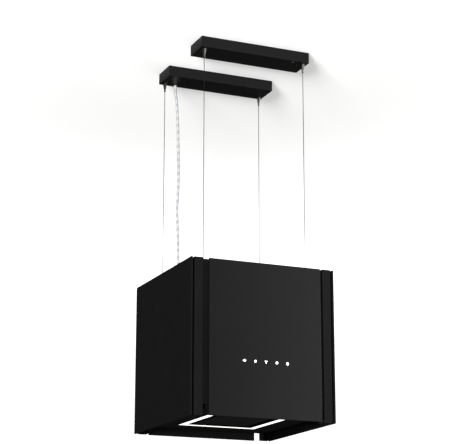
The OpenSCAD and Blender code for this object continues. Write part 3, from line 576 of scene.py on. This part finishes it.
# %% Grippers and their plungers
GRIPPER = [(2.3, -40), (2.8, -40), (3.0, -39.8), (4.1, -32.2), (3.95, -31.9), (3.95, -31.3),
           (4.2, -31.0), (4.85, -27.0), (4.95, -26.0), (4.9, -24.6), (4.6, -24.2), (4.6, -17),
           (4.2, -16.2), (0.95, -16.2), (0.95, -24), (2.3, -24)]
PLUNGER = [(0.85, -48), (1.9, -48), (2.25, -47.6), (2.25, -45.4), (1.95, -45.1), (1.95, -44.6),
           (2.25, -44.3), (2.25, -36.2), (2.1, -36), (0.85, -36)]
put(spun("wire_grippers", [(GRIPPER, spot) for spot in WIRE_SPOTS]), NICKEL, "gripper_bodies")
for name, x, y in CORNERS:
    plunger = spun("release_plunger_" + name, [(PLUNGER, (x * WIRE_AT, y * WIRE_AT))])
    put(plunger, NICKEL, "plunger_" + name)
print("gripper outline of", len(GRIPPER), "points, plunger of", len(PLUNGER))

# %% [markdown]
# ## Wire anchors
# Each wire ends in a stud that goes through the lid and the lift bar, with a nut above and one below.
# A nut is an outline spun in six steps instead of forty. Its corners are chamfered at both ends.

# %% Wire anchors
CHAMFER = 0.5
CHAMFERED = 0.93


def hexagon(bm, radius, low, high, centre):
    """A hexagon nut or head: six flats with chamfered corners at both ends."""
    small = radius * CHAMFERED
    turned(bm, [(0, low), (small, low), (radius, low + CHAMFER), (radius, high - CHAMFER), (small, high),
                (0, high)], centre, 6)


LID = 343 + HOOD_LOW
bm = bmesh.new()
for spot in WIRE_SPOTS:
    hexagon(bm, 6, LID - 9, LID - 4, spot)
    hexagon(bm, 6, LID + 2, LID + 6, spot)
    turned(bm, [(0, LID - 12), (2.6, LID - 12), (3, LID - 11.6), (3, LID + 2), (0, LID + 2)], spot)
    turned(bm, [(0.8, LID + 5.8), (4.9, LID + 5.8), (4.9, LID + 6.6), (4.5, LID + 7.4),
                (2.5, LID + 15), (2.1, LID + 15.9), (0.8, LID + 15.9)], spot)
bmesh.ops.recalc_face_normals(bm, faces=bm.faces)
put(new_piece("wire_anchor_studs", bm), NICKEL, "wire_anchors")
print("the lid's top is at", LID, "mm, with", len(WIRE_SPOTS), "anchors on it")

# %% [markdown]
# ## Strain reliefs
# Where the lead goes through sheet metal a rubber boot keeps it from chafing and from bending
# sharply. On the hood it is a ribbed cone: the ribs let it flex, and they get thinner towards its end.

# %% Strain reliefs
RELIEF_RIBS = 7
RIBBED_LENGTH = 22
relief_outline = [(0, LID), (6, LID), (6, LID + 2), (8.7, LID + 2), (9, LID + 2.3), (9, LID + 4.6),
                  (8.6, LID + 5)]
for i in range(RELIEF_RIBS):
    share = i / RELIEF_RIBS
    low = LID + 5 + RIBBED_LENGTH * share
    wide = 7 - 2.6 * share
    thin = 5.4 - 1.6 * share
    relief_outline += [(wide, low + 0.2), (wide, low + 1.9), (thin, low + 2.1), (thin, low + 3.0)]
relief_outline += [(4.2, LID + 28.8), (3.9, LID + 29), (0, LID + 29)]
put(spun("hood_strain_relief", [(relief_outline, (-87, 127))]), RUBBER, "hood_gland")
canopy_relief = [(0, -27.5), (6.6, -27.5), (7, -27.2), (7, -26), (5, -26), (5, -24.5), (7, -24.5),
                 (7, -20.5), (5, -20.5), (3.7, -10.5), (0, -10.5)]
put(spun("canopy_strain_relief", [(canopy_relief, (-100, 127))]), RUBBER, "canopy_gland")
print("the strain relief on the hood has", RELIEF_RIBS, "ribs")

# %% [markdown]
# ## Repeated shapes
# Slats, screws, blades, coils and mesh cells are one shape many times over. A Geometry Nodes tree
# repeats the shape it is given, so only one has to be drawn. Three trees are enough: along a line,
# round an axis, and over a grid. Each ends by making real geometry of its copies.

# %% Trees that repeat a shape
def repeat_tree(name, sizes, layout):
    """A tree that puts its geometry on the points that layout makes. sizes names its inputs."""
    tree = bpy.data.node_groups.new(name, "GeometryNodeTree")
    tree.interface.new_socket("Geometry", in_out="INPUT", socket_type="NodeSocketGeometry")
    for label, kind in sizes.items():
        tree.interface.new_socket(label, in_out="INPUT", socket_type="NodeSocket" + kind)
    tree.interface.new_socket("Material", in_out="INPUT", socket_type="NodeSocketMaterial")
    tree.interface.new_socket("Geometry", in_out="OUTPUT", socket_type="NodeSocketGeometry")
    given = add(tree, "NodeGroupInput").outputs
    points, turn = layout(tree, given)
    copies = add(tree, "GeometryNodeInstanceOnPoints",
                 links={"Points": points, "Instance": given["Geometry"]})
    if turn:
        tree.links.new(turn, copies.inputs["Rotation"])
    real = add(tree, "GeometryNodeRealizeInstances", links={"Geometry": copies.outputs["Instances"]})
    painted = add(tree, "GeometryNodeSetMaterial",
                  links={"Geometry": real.outputs["Geometry"], "Material": given["Material"]})
    add(tree, "NodeGroupOutput", links={"Geometry": painted.outputs["Geometry"]})
    return tree


def along_a_line(tree, given):
    line = add(tree, "GeometryNodeMeshLine", links={"Count": given["Count"], "Offset": given["Step"]})
    return line.outputs["Mesh"], None


def round_an_axis(tree, given):
    spots = add(tree, "GeometryNodeMeshLine", {"Offset": (0, 0, 0)}, {"Count": given["Count"]})
    number = add(tree, "GeometryNodeInputIndex").outputs["Index"]
    share = add(tree, "ShaderNodeMath", links={0: number, 1: given["Count"]}, operation="DIVIDE")
    angle = add(tree, "ShaderNodeMath", {1: 2 * math.pi}, {0: share.outputs[0]}, operation="MULTIPLY")
    turn = add(tree, "FunctionNodeAxisAngleToRotation",
               links={"Axis": given["Axis"], "Angle": angle.outputs[0]})
    return spots.outputs["Mesh"], turn.outputs["Rotation"]


def over_a_grid(tree, given):
    total = add(tree, "ShaderNodeMath", links={0: given["Columns"], 1: given["Rows"]}, operation="MULTIPLY")
    spots = add(tree, "GeometryNodeMeshLine", {"Offset": (0, 0, 0)}, {"Count": total.outputs[0]})
    number = add(tree, "GeometryNodeInputIndex").outputs["Index"]
    split = add(tree, "ShaderNodeMath", links={0: number, 1: given["Columns"]}, operation="DIVIDE")
    row = add(tree, "ShaderNodeMath", links={0: split.outputs[0]}, operation="FLOOR").outputs[0]
    column = add(tree, "ShaderNodeMath", links={0: number, 1: given["Columns"]}, operation="MODULO")
    x = add(tree, "ShaderNodeMath", links={0: column.outputs[0], 1: given["Cell width"]},
            operation="MULTIPLY")
    y = add(tree, "ShaderNodeMath", links={0: row, 1: given["Cell height"]}, operation="MULTIPLY")
    spot = add(tree, "ShaderNodeCombineXYZ", links={"X": x.outputs[0], "Y": y.outputs[0]})
    moved = add(tree, "GeometryNodeSetPosition",
                links={"Geometry": spots.outputs["Mesh"], "Position": spot.outputs[0]})
    return moved.outputs["Geometry"], None


ROW = repeat_tree("repeat_along_a_line", {"Count": "Int", "Step": "Vector"}, along_a_line)
WHEEL = repeat_tree("repeat_round_an_axis", {"Count": "Int", "Axis": "Vector"}, round_an_axis)
LATTICE = repeat_tree("repeat_over_a_grid", {"Columns": "Int", "Rows": "Int", "Cell width": "Float",
                                             "Cell height": "Float"}, over_a_grid)


def repeated(piece, tree, material, centre=(0, 0, 0), **sizes):
    """Runs a tree on the piece, with its shape drawn about centre, and keeps the plain mesh."""
    sizes = {key.replace("_", " "): value for key, value in sizes.items()} | {"Material": material}
    piece.data.transform(Matrix.Translation(-Vector(centre)))
    repeat = piece.modifiers.new("repeat", "NODES")
    repeat.node_group = tree
    for item in tree.interface.items_tree:
        if item.in_out == "INPUT" and item.name in sizes:
            repeat[item.identifier] = sizes[item.name]
    bpy.context.view_layer.update()
    seen = piece.evaluated_get(bpy.context.evaluated_depsgraph_get())
    mesh = bpy.data.meshes.new_from_object(seen)
    piece.modifiers.clear()
    piece.data = mesh
    mesh.transform(Matrix.Translation(Vector(centre)))
    return piece


print("trees:", [t.name for t in bpy.data.node_groups if t.bl_idname == "GeometryNodeTree"])

# %% [markdown]
# ## Canopy screws
# Each canopy is held by two pan-head screws with a cross recess. The head is turned and the recess
# is cut by a Boolean. The second screw is the first, half round the canopy, and the front canopy's
# pair is the rear one's, half round the hood, so the tree runs twice.

# %% Make the screws
def slab(bm, low, high):
    """A block between two corners in millimetres."""
    corners = [bm.verts.new([(low, high)[bit >> axis & 1][axis] * MM for axis in range(3)])
               for bit in range(8)]
    for loop in ((0, 2, 3, 1), (4, 5, 7, 6), (0, 1, 5, 4), (2, 6, 7, 3), (0, 4, 6, 2), (1, 3, 7, 5)):
        bm.faces.new([corners[i] for i in loop])


SCREW_SPOT = (-115, 114)
CANOPY_MIDDLE = (0, 104 * MM, 0)
SCREW = [(0, -27.8), (1.8, -27.75), (2.8, -27.4), (3.4, -26.8), (3.5, -26), (2, -26), (2, -18.2),
         (1.6, -18), (0, -18)]
RECESS_REACH = 1.9
RECESS_HALF = 0.35
RECESS_FOOT = -29
RECESS_TOP = -26.6
head = spun("canopy_screw_heads", [(SCREW, SCREW_SPOT)], 32)
screw_x, screw_y = SCREW_SPOT
cutters = []
for reach_x, reach_y in ((RECESS_REACH, RECESS_HALF), (RECESS_HALF, RECESS_REACH)):
    bm = bmesh.new()
    slab(bm, (screw_x - reach_x, screw_y - reach_y, RECESS_FOOT),
         (screw_x + reach_x, screw_y + reach_y, RECESS_TOP))
    cutters.append(new_piece("recess_cutter", bm))
    cut = head.modifiers.new("recess", "BOOLEAN")
    cut.object = cutters[-1]
    cut.solver = "EXACT"
bpy.context.view_layer.update()
seen = head.evaluated_get(bpy.context.evaluated_depsgraph_get())
head_mesh = bpy.data.meshes.new_from_object(seen)
head.modifiers.clear()
head.data = head_mesh
for cutter in cutters:
    bpy.data.objects.remove(cutter)
repeated(head, WHEEL, CANOPY_BLACK, CANOPY_MIDDLE, Count=2, Axis=(0, 0, 1))
repeated(head, WHEEL, CANOPY_BLACK, Count=2, Axis=(0, 0, 1))
put(head, CANOPY_BLACK, "canopy_screws")
print("screws:", len(head.data.polygons), "faces in four screws")

# %% [markdown]
# ## Springs in the grippers
# Each release spring is a coil of 0.4 mm wire. One coil is swept along a helix, and the other three
# are the same coil at the other wires: two runs along a line, first in X and then in Y. The coils are
# drawn at their pressed length, so that the plunger has its full travel below them.

# %% Make the release springs
PRESS = 2.1
COILS = 5
COIL_STEPS = 80
COIL_R = 1.75
COIL_WIRE_R = 0.2
spring_low, spring_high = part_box("release_springs")
coil_start = spring_low.z + (PRESS + 0.25) * MM
coil_rise = spring_high.z - 0.25 * MM - coil_start
coil_line = []
for i in range(COIL_STEPS + 1):
    share = i / COIL_STEPS
    angle = 2 * math.pi * COILS * share
    coil_line.append(Vector(((-WIRE_AT + COIL_R * math.cos(angle)) * MM,
                             (-WIRE_AT + COIL_R * math.sin(angle)) * MM, coil_start + coil_rise * share)))
springs = swept("release_spring_coils", coil_line, 8, lambda way, angle: COIL_WIRE_R * MM)
repeated(springs, ROW, WIRE_STEEL, Count=2, Step=(2 * WIRE_AT * MM, 0, 0))
repeated(springs, ROW, WIRE_STEEL, Count=2, Step=(0, 2 * WIRE_AT * MM, 0))
put(springs, WIRE_STEEL, "release_springs")
print("springs:", len(springs.data.polygons), "faces")

# %% [markdown]
# ## The outlet grille
# Filtered air leaves through a slatted grille in the lid. The frame is one ring of four bars and the
# slats are one bar repeated along a line.

# %% Make the grille
grille_low, grille_high = (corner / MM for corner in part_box("outlet_grille"))
BAR = 8
SLATS = 9
SLAT_HALF = 0.75
SLAT_TUCK = 0.5
open_x = grille_high.x - BAR
open_y0 = grille_low.y + BAR
open_y1 = grille_high.y - BAR
slat_step = (open_y1 - open_y0) / (SLATS + 1)
first = open_y0 + slat_step
bm = bmesh.new()
slab(bm, (-open_x - SLAT_TUCK, first - SLAT_HALF, grille_low.z + 0.1),
     (open_x + SLAT_TUCK, first + SLAT_HALF, grille_high.z - 0.3))
slats = rounded(new_piece("outlet_slats", bm), 0.4, 3)
repeated(slats, ROW, SATIN_BLACK, Count=SLATS, Step=(0, slat_step * MM, 0))
bm = bmesh.new()
slab(bm, tuple(grille_low), (grille_high.x, open_y0, grille_high.z))
slab(bm, (grille_low.x, open_y1, grille_low.z), tuple(grille_high))
slab(bm, (grille_low.x, open_y0, grille_low.z), (-open_x, open_y1, grille_high.z))
slab(bm, (open_x, open_y0, grille_low.z), (grille_high.x, open_y1, grille_high.z))
put(rounded(new_piece("outlet_grille_frame", bm), 0.5), SATIN_BLACK, "outlet_grille")
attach(slats, "hood")
print("grille:", SLATS, "slats,", round(slat_step, 2), "mm apart")

# %% [markdown]
# ## The grease filter's mesh
# Behind the suction panel hangs a filter of expanded aluminium: sheet that is slit and pulled, which
# opens it into diamonds. A crossing of four slanted strands is drawn once, and the grid makes the
# sheet. Two sheets lie over each other, the upper one part of a cell along, as in the real pack.

# %% Make the expanded mesh
mesh_low, mesh_high = (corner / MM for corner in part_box("grease_filter_mesh"))
CELL_X, CELL_Y, STRAND, SHEET_T = 8.0, 4.0, 0.8, 1.2


def crossing(bm, x, y, z):
    """Four strands that meet in a point and reach half a cell out, to the next crossings."""
    middle = Vector((x, y, z))
    up = Vector((0, 0, SHEET_T / 2))
    for side_x in (-1, 1):
        for side_y in (-1, 1):
            end = middle + Vector((side_x * CELL_X / 2, side_y * CELL_Y / 2, 0))
            across = (end - middle).cross(up).normalized() * STRAND / 2
            rings = []
            for point, low, high in ((middle, 1.0, 0.4), (end, 0.4, 1.0)):
                rings.append([bm.verts.new((point + side * across + rise * up) * MM)
                              for side, rise in ((-1, -low), (1, -low), (1, high), (-1, high))])
            for k in range(4):
                j = (k + 1) % 4
                bm.faces.new((rings[0][k], rings[0][j], rings[1][j], rings[1][k]))
            bm.faces.new(list(reversed(rings[0])))
            bm.faces.new(rings[1])


columns = int((mesh_high.x - mesh_low.x - 2) / CELL_X)
rows = int((mesh_high.y - mesh_low.y - 2) / CELL_Y)
bm = bmesh.new()
start_x = -(columns - 1) * CELL_X / 2 - 1
start_y = -(rows - 1) * CELL_Y / 2 - 0.5
crossing(bm, start_x, start_y, mesh_low.z + 1)
crossing(bm, start_x + 2, start_y + 1, mesh_low.z + 3.5)
bmesh.ops.recalc_face_normals(bm, faces=bm.faces)
filter_mesh = new_piece("grease_filter_expanded_mesh", bm)
repeated(filter_mesh, LATTICE, ALUMINIUM, Columns=columns, Rows=rows,
         Cell_width=CELL_X * MM, Cell_height=CELL_Y * MM)
put(filter_mesh, ALUMINIUM, "grease_filter_mesh")
print("mesh:", columns, "by", rows, "cells,", len(filter_mesh.data.polygons), "faces")

# %% [markdown]
# ## The wheel
# The blower's wheel is a drum of curved blades between two rings, on a centre disc. A blade is drawn
# once, as a thin arc pushed along the axis, and the tree turns it round the axis.

# %% Make the wheel
AXIS_Y, AXIS_Z = -25, 205 + HOOD_LOW
BLADES = 32
WHEEL_R = 75
WHEEL_HALF = 42
SHAFT_BORE = 4.05


def across_x(bm, section, x0, x1):
    """Pushes a closed outline of (y, z) points in millimetres along X."""
    left = [bm.verts.new((x0 * MM, y * MM, z * MM)) for y, z in section]
    right = [bm.verts.new((x1 * MM, y * MM, z * MM)) for y, z in section]
    for k in range(len(section)):
        j = (k + 1) % len(section)
        bm.faces.new((left[k], left[j], right[j], right[k]))
    bm.faces.new(list(reversed(left)))
    bm.faces.new(right)


def annulus(bm, outer, inner, x0, x1, sides=72):
    """A ring or disc about the wheel's axis."""
    loops = []
    for radius, x in ((outer, x0), (outer, x1), (inner, x1), (inner, x0)):
        loops.append([bm.verts.new((x * MM, (AXIS_Y + radius * math.cos(2 * math.pi * k / sides)) * MM,
                                    (AXIS_Z + radius * math.sin(2 * math.pi * k / sides)) * MM))
                      for k in range(sides)])
    for a, b in zip(loops, loops[1:] + loops[:1]):
        for k in range(sides):
            j = (k + 1) % sides
            bm.faces.new((a[k], a[j], b[j], b[k]))


BLADE_ROOT_R = 62.5
BLADE_DEPTH = 11.5
BLADE_STEPS = 8
BLADE_HALF_T = 0.5
BLADE_SLANT = 0.6
outer_arc = []
inner_arc = []
for i in range(BLADE_STEPS + 1):
    share = i / BLADE_STEPS
    radius = BLADE_ROOT_R + BLADE_DEPTH * share
    lean = math.radians(13 * share * share + 2 * share)
    for side_arc, thick in ((outer_arc, BLADE_HALF_T), (inner_arc, -BLADE_HALF_T)):
        side_arc.append((AXIS_Y + radius * math.cos(lean) - thick * math.sin(lean + BLADE_SLANT),
                         AXIS_Z + radius * math.sin(lean) + thick * math.cos(lean + BLADE_SLANT)))
bm = bmesh.new()
across_x(bm, outer_arc + inner_arc[::-1], -WHEEL_HALF + 0.5, WHEEL_HALF - 0.5)
bmesh.ops.recalc_face_normals(bm, faces=bm.faces)
blades = new_piece("wheel_blades", bm)
repeated(blades, WHEEL, BLACK_ABS, (0, AXIS_Y * MM, AXIS_Z * MM), Count=BLADES, Axis=(1, 0, 0))
bm = bmesh.new()
for x0, x1 in ((-WHEEL_HALF, -WHEEL_HALF + 2), (WHEEL_HALF - 2, WHEEL_HALF)):
    annulus(bm, WHEEL_R - 0.05, WHEEL_R - 3, x0, x1)
annulus(bm, WHEEL_R - 0.3, SHAFT_BORE, -1, 1)
annulus(bm, 10, SHAFT_BORE, -14, -1)
bmesh.ops.recalc_face_normals(bm, faces=bm.faces)
put(rounded(new_piece("blower_wheel", bm), 0.3), BLACK_ABS, "impeller")
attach(blades, "impeller")
print("wheel:", BLADES, "blades,", len(blades.data.polygons), "faces")

# %% [markdown]
# ## Carbon filters
# Each filter is a flat black drum with a grille of ribs over its granules and a grip across it. The
# drum comes from the frame; the granule bed and the ribs are laid on its outer face.

# %% Make the ribs and the granule beds
BED_X = 78.5
BED_R = 80
HUB_R = 27
RIBS = 24
RIB_HALF = 0.8
RIB_START = AXIS_Y + HUB_R - 0.5
RIB_END = AXIS_Y + 84
for name, sign in (("left", -1), ("right", 1)):
    node = "carbon_filter_" + name
    put(edged(node, 0.8), BLACK_ABS, node)
    bm = bmesh.new()
    bed_x = sign * BED_X
    annulus(bm, BED_R, HUB_R, bed_x, bed_x + sign * 0.8)
    bmesh.ops.recalc_face_normals(bm, faces=bm.faces)
    bed = new_piece("granule_bed_" + name, bm)
    bed.data.materials.append(CARBON)
    bm = bmesh.new()
    x0, x1 = sorted((bed_x, bed_x + sign * 1.8))
    across_x(bm, [(RIB_START, AXIS_Z - RIB_HALF), (RIB_END, AXIS_Z - RIB_HALF),
                  (RIB_END, AXIS_Z + RIB_HALF), (RIB_START, AXIS_Z + RIB_HALF)], x0, x1)
    bmesh.ops.recalc_face_normals(bm, faces=bm.faces)
    ribs = rounded(new_piece("filter_ribs_" + name, bm), 0.4)
    repeated(ribs, WHEEL, BLACK_ABS, (0, AXIS_Y * MM, AXIS_Z * MM), Count=RIBS, Axis=(1, 0, 0))
    for piece in (bed, ribs):
        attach(piece, "carbon_" + name)
    print(node, "has", RIBS, "ribs over a bed of", len(bed.data.polygons), "faces")

# %% [markdown]
# ## Touch icons
# Five plain signs are printed on the glass: a lamp, less, the fan, more and the switch. Each is a
# few strokes of even width, drawn flat and given the thickness of the print, 0.2 mm.

# %% Draw strokes on the glass
GLASS_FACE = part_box("front_glass")[0].y / MM
ICON_Z = 124.5 + HOOD_LOW
PRINT_T = 0.2


def stroke(bm, centre_x, points, width, closed=False):
    """A line of even width through points in millimetres, 0.2 mm thick, on the front glass."""
    count = len(points)
    walls = []
    for i, (x, z) in enumerate(points):
        before = points[i - 1] if closed or i else points[i]
        after = points[(i + 1) % count] if closed or i < count - 1 else points[i]
        along = Vector((after[0] - before[0], after[1] - before[1])).normalized()
        off = Vector((-along.y, along.x)) * width / 2
        rim = ((-1, GLASS_FACE - PRINT_T), (1, GLASS_FACE - PRINT_T), (1, GLASS_FACE), (-1, GLASS_FACE))
        walls.append([bm.verts.new(((centre_x + x + s * off.x) * MM, y * MM,
                                    (ICON_Z + z + s * off.y) * MM)) for s, y in rim])
    for i in range(count if closed else count - 1):
        a, b = walls[i], walls[(i + 1) % count]
        for k in range(4):
            j = (k + 1) % 4
            bm.faces.new((a[k], a[j], b[j], b[k]))
    if not closed:
        bm.faces.new(walls[0])
        bm.faces.new(list(reversed(walls[-1])))


def arc(radius_x, radius_z, start, end, steps=28):
    """Points on an ellipse between two angles in degrees; a full turn leaves out the last."""
    full = abs(end - start) >= 360
    return [(radius_x * math.cos(math.radians(start + (end - start) * i / steps)),
             radius_z * math.sin(math.radians(start + (end - start) * i / steps)))
            for i in range(steps if full else steps + 1)]


ICONS = {
    "lamp": (-52, ICON_DIM, [(arc(3.4, 2.2, 0, 360), 0.8, True), (arc(0.9, 0.9, 0, 360, 16), 0.8, True)]),
    "less": (-26, ICON_LIT, [(arc(2.3, 2.5, 0, 360), 0.8, True), ([(-1.2, 0), (1.2, 0)], 0.9, False)]),
    "fan": (0, ICON_LIT, [([(0, 0.2), (-3.0, 2.5)], 1.5, False), ([(0, 0.2), (3.0, 2.5)], 1.5, False),
                          ([(0, 0.6), (0, -3.4)], 1.5, False)]),
    "more": (26, ICON_LIT, [(arc(2.4, 2.6, 0, 360), 0.9, True), ([(-1.3, 0), (1.3, 0)], 0.9, False),
                            ([(0, -1.4), (0, 1.4)], 0.9, False)]),
    "switch": (52, ICON_BRIGHT, [(arc(2.5, 2.6, 125, 415), 1.1, False), ([(0, 0.2), (0, 3.4)], 1.1, False)]),
}
for label, (centre_x, material, strokes) in ICONS.items():
    bm = bmesh.new()
    for points, width, closed in strokes:
        stroke(bm, centre_x, points, width, closed)
    bmesh.ops.recalc_face_normals(bm, faces=bm.faces)
    icon = new_piece("icon_" + label, bm)
    put(icon, material, "touch_icons")
    print(icon.name, len(icon.data.polygons), "faces")

# %% [markdown]
# ## The room
# The hood hangs in a white room: a ceiling at the canopies and a pale floor 2.4 m below. Each is one
# large plane, which only its own side shows, so the hood can also be looked at from above the
# ceiling and from under the floor.

# %% Make the planes of the room
FLOOR_Z = -2.4
ROOM = 40.0


def room_plane(name, z, face_down):
    bm = bmesh.new()
    corners = [bm.verts.new((x * ROOM, y * ROOM, z)) for x, y in ((-1, -1), (1, -1), (1, 1), (-1, 1))]
    bm.faces.new(list(reversed(corners)) if face_down else corners)
    mesh = bpy.data.meshes.new(name)
    bm.to_mesh(mesh)
    bm.free()
    plane = bpy.data.objects.new(name, mesh)
    SHOP.objects.link(plane)
    return plane


ceiling = room_plane("studio_ceiling", 0.0004, True)
floor = room_plane("studio_floor", FLOOR_Z, False)
print("room: ceiling at", ceiling.data.vertices[0].co.z, "and floor at", FLOOR_Z)

# %% [markdown]
# ## What the hood mirrors
# A black, glossy thing shows what it mirrors, so the room is white only where the camera looks at it.
# Reflections see a calm studio instead, bright in front on the right and dark behind on the left, and
# that is what draws the shapes. The front glass mirrors the ceiling in front of it, where a fan of
# light opens from a point behind the hood: the glass then goes from dark at its left to paler at its
# right, the same all the way down.

# %% Write the glow of each part of the room
BRIGHT_WAY = Vector((0.60, -0.76, 0.25)).normalized()
FAN_X, FAN_Y = -1.39, 2.83
FAN_START, FAN_END = 0.33, 0.60
FAN_DARK, FAN_BRIGHT = 0.12, 0.80
NEAR_DARK, NEAR_BRIGHT = 0.05, 0.5


def mapped(tree, value, start, end, low, high):
    """A smooth rise from low to high while value goes from start to end."""
    spread = {"From Min": start, "From Max": end, "To Min": low, "To Max": high}
    return add(tree, "ShaderNodeMapRange", spread, {"Value": value},
               interpolation_type="SMOOTHSTEP").outputs["Result"]


def studio_glow(tree, way, dark, bright):
    """A soft gradient from dark to bright along BRIGHT_WAY, for reflections only."""
    unit = add(tree, "ShaderNodeVectorMath", links={0: way}, operation="NORMALIZE").outputs["Vector"]
    facing = add(tree, "ShaderNodeVectorMath", {1: tuple(BRIGHT_WAY)}, {0: unit}, operation="DOT_PRODUCT")
    return mapped(tree, facing.outputs["Value"], -0.35, 1.0, dark, bright)


def ceiling_glow(tree, place):
    """What the hood mirrors in the ceiling: a fan of light in front that grows to the right, and
    beside the canopies a pale patch that ends at their left."""
    spot = add(tree, "ShaderNodeSeparateXYZ", links={"Vector": place}).outputs
    ahead = add(tree, "ShaderNodeMath", {0: FAN_Y}, {1: spot["Y"]}, operation="SUBTRACT").outputs[0]
    aside = add(tree, "ShaderNodeMath", {1: -FAN_X}, {0: spot["X"]}, operation="ADD").outputs[0]
    turn = add(tree, "ShaderNodeMath", links={0: aside, 1: ahead}, operation="DIVIDE").outputs[0]
    fan = mapped(tree, turn, FAN_START, FAN_END, FAN_DARK, FAN_BRIGHT)
    near = mapped(tree, spot["X"], -0.20, -0.12, NEAR_DARK, NEAR_BRIGHT)
    front = mapped(tree, spot["Y"], -1.2, -0.5, 1.0, 0.0)
    mixed = add(tree, "ShaderNodeMix", links={"Factor": front, "A": near, "B": fan})
    return mixed.outputs["Result"]


def floor_glow(tree, place):
    """What the hood mirrors in the floor, seen from the hood's own middle."""
    way = add(tree, "ShaderNodeVectorMath", {1: (0, 0, -0.7)}, {0: place}, operation="SUBTRACT")
    return studio_glow(tree, way.outputs["Vector"], 0.03, 0.25)


print("reflections are brightest towards", [round(v, 2) for v in BRIGHT_WAY])

# %% [markdown]
# ## White paint
# The room's paint is plain and matt. It also gives off a little light of its own, and more of it
# further away, so that the ceiling fades into white while the canopies' shadows stay on it.

# %% Paint the room
def room_paint(name, own_light, glow):
    """White for the camera, the given glow for reflections, and clear from behind."""
    material = bpy.data.materials.new(name)
    material.use_nodes = True
    tree = material.node_tree
    tree.nodes.clear()
    rays = add(tree, "ShaderNodeLightPath").outputs
    paint = add(tree, "ShaderNodeBsdfDiffuse", {"Color": linear("#e9e9e8")})
    place = add(tree, "ShaderNodeTexCoord").outputs["Object"]
    away = add(tree, "ShaderNodeVectorMath", links={0: place}, operation="LENGTH").outputs["Value"]
    wash = mapped(tree, away, FADE_START, FADE_END, own_light, own_light + FADE_LIGHT)
    lift = add(tree, "ShaderNodeEmission", {"Color": linear("#ffffff")}, {"Strength": wash})
    seen = add(tree, "ShaderNodeAddShader", links={0: paint.outputs[0], 1: lift.outputs[0]})
    mirrored = add(tree, "ShaderNodeEmission", links={"Strength": glow(tree, place)})
    look = add(tree, "ShaderNodeMixShader", links={0: rays["Is Camera Ray"], 1: mirrored.outputs[0],
                                                   2: seen.outputs[0]})
    clear = add(tree, "ShaderNodeBsdfTransparent")
    behind = add(tree, "ShaderNodeNewGeometry").outputs["Backfacing"]
    out = add(tree, "ShaderNodeMixShader", links={0: behind, 1: look.outputs[0], 2: clear.outputs[0]})
    add(tree, "ShaderNodeOutputMaterial", links={"Surface": out.outputs[0]})
    return material


FADE_START, FADE_END, FADE_LIGHT = 0.35, 2.2, 0.85
ceiling.data.materials.append(room_paint("ceiling_paint", 0.25, ceiling_glow))
floor.data.materials.append(room_paint("floor_paint", 1.0, floor_glow))
print("paints:", ceiling.data.materials[0].name, "and", floor.data.materials[0].name)

# %% [markdown]
# ## The air and the lights
# Beyond the room the camera sees white, and reflections see the studio again. A wide light from below
# lifts the ceiling, one from above lights the floor, and a softbox low in front on the left throws
# the canopies' long soft shadows. Only the softbox on the right shows in reflections.

# %% Light the room
world = bpy.data.worlds.new("studio_air")
bpy.context.scene.world = world
world.use_nodes = True
tree = world.node_tree
tree.nodes.clear()
rays = add(tree, "ShaderNodeLightPath").outputs
way = add(tree, "ShaderNodeTexCoord").outputs["Generated"]
mirrored = add(tree, "ShaderNodeBackground", links={"Strength": studio_glow(tree, way, 0.02, 0.8)})
white = add(tree, "ShaderNodeBackground", {"Color": linear("#ffffff"), "Strength": 1.0})
mixed = add(tree, "ShaderNodeMixShader", links={0: rays["Is Camera Ray"], 1: mirrored.outputs[0],
                                                2: white.outputs[0]})
add(tree, "ShaderNodeOutputWorld", links={"Surface": mixed.outputs[0]})


def soft_light(name, spot, target, size, watts, mirrored=False):
    """A square soft light aimed at a point. Most are left out of reflections."""
    light = bpy.data.lights.new(name, "AREA")
    light.shape = "SQUARE"
    light.size = size
    light.energy = watts
    lamp = bpy.data.objects.new(name, light)
    lamp.location = spot
    lamp.rotation_euler = (Vector(target) - Vector(spot)).to_track_quat("-Z", "Y").to_euler()
    lamp.visible_camera = False
    lamp.visible_glossy = mirrored
    SHOP.objects.link(lamp)
    return lamp


soft_light("up_light", (0, 0, FLOOR_Z + 0.05), (0, 0, 0), 7.0, 60)
soft_light("down_light", (0, 0, -0.02), (0, 0, -2), 6.0, 90)
soft_light("key_softbox", (-3.2, -3.8, -0.8), (0, 0, -0.1), 1.4, 900)
soft_light("right_softbox", (2.6, 0.9, -0.5), (0, 0, -0.6), 1.6, 30, True)
bpy.context.scene.view_settings.view_transform = "Standard"
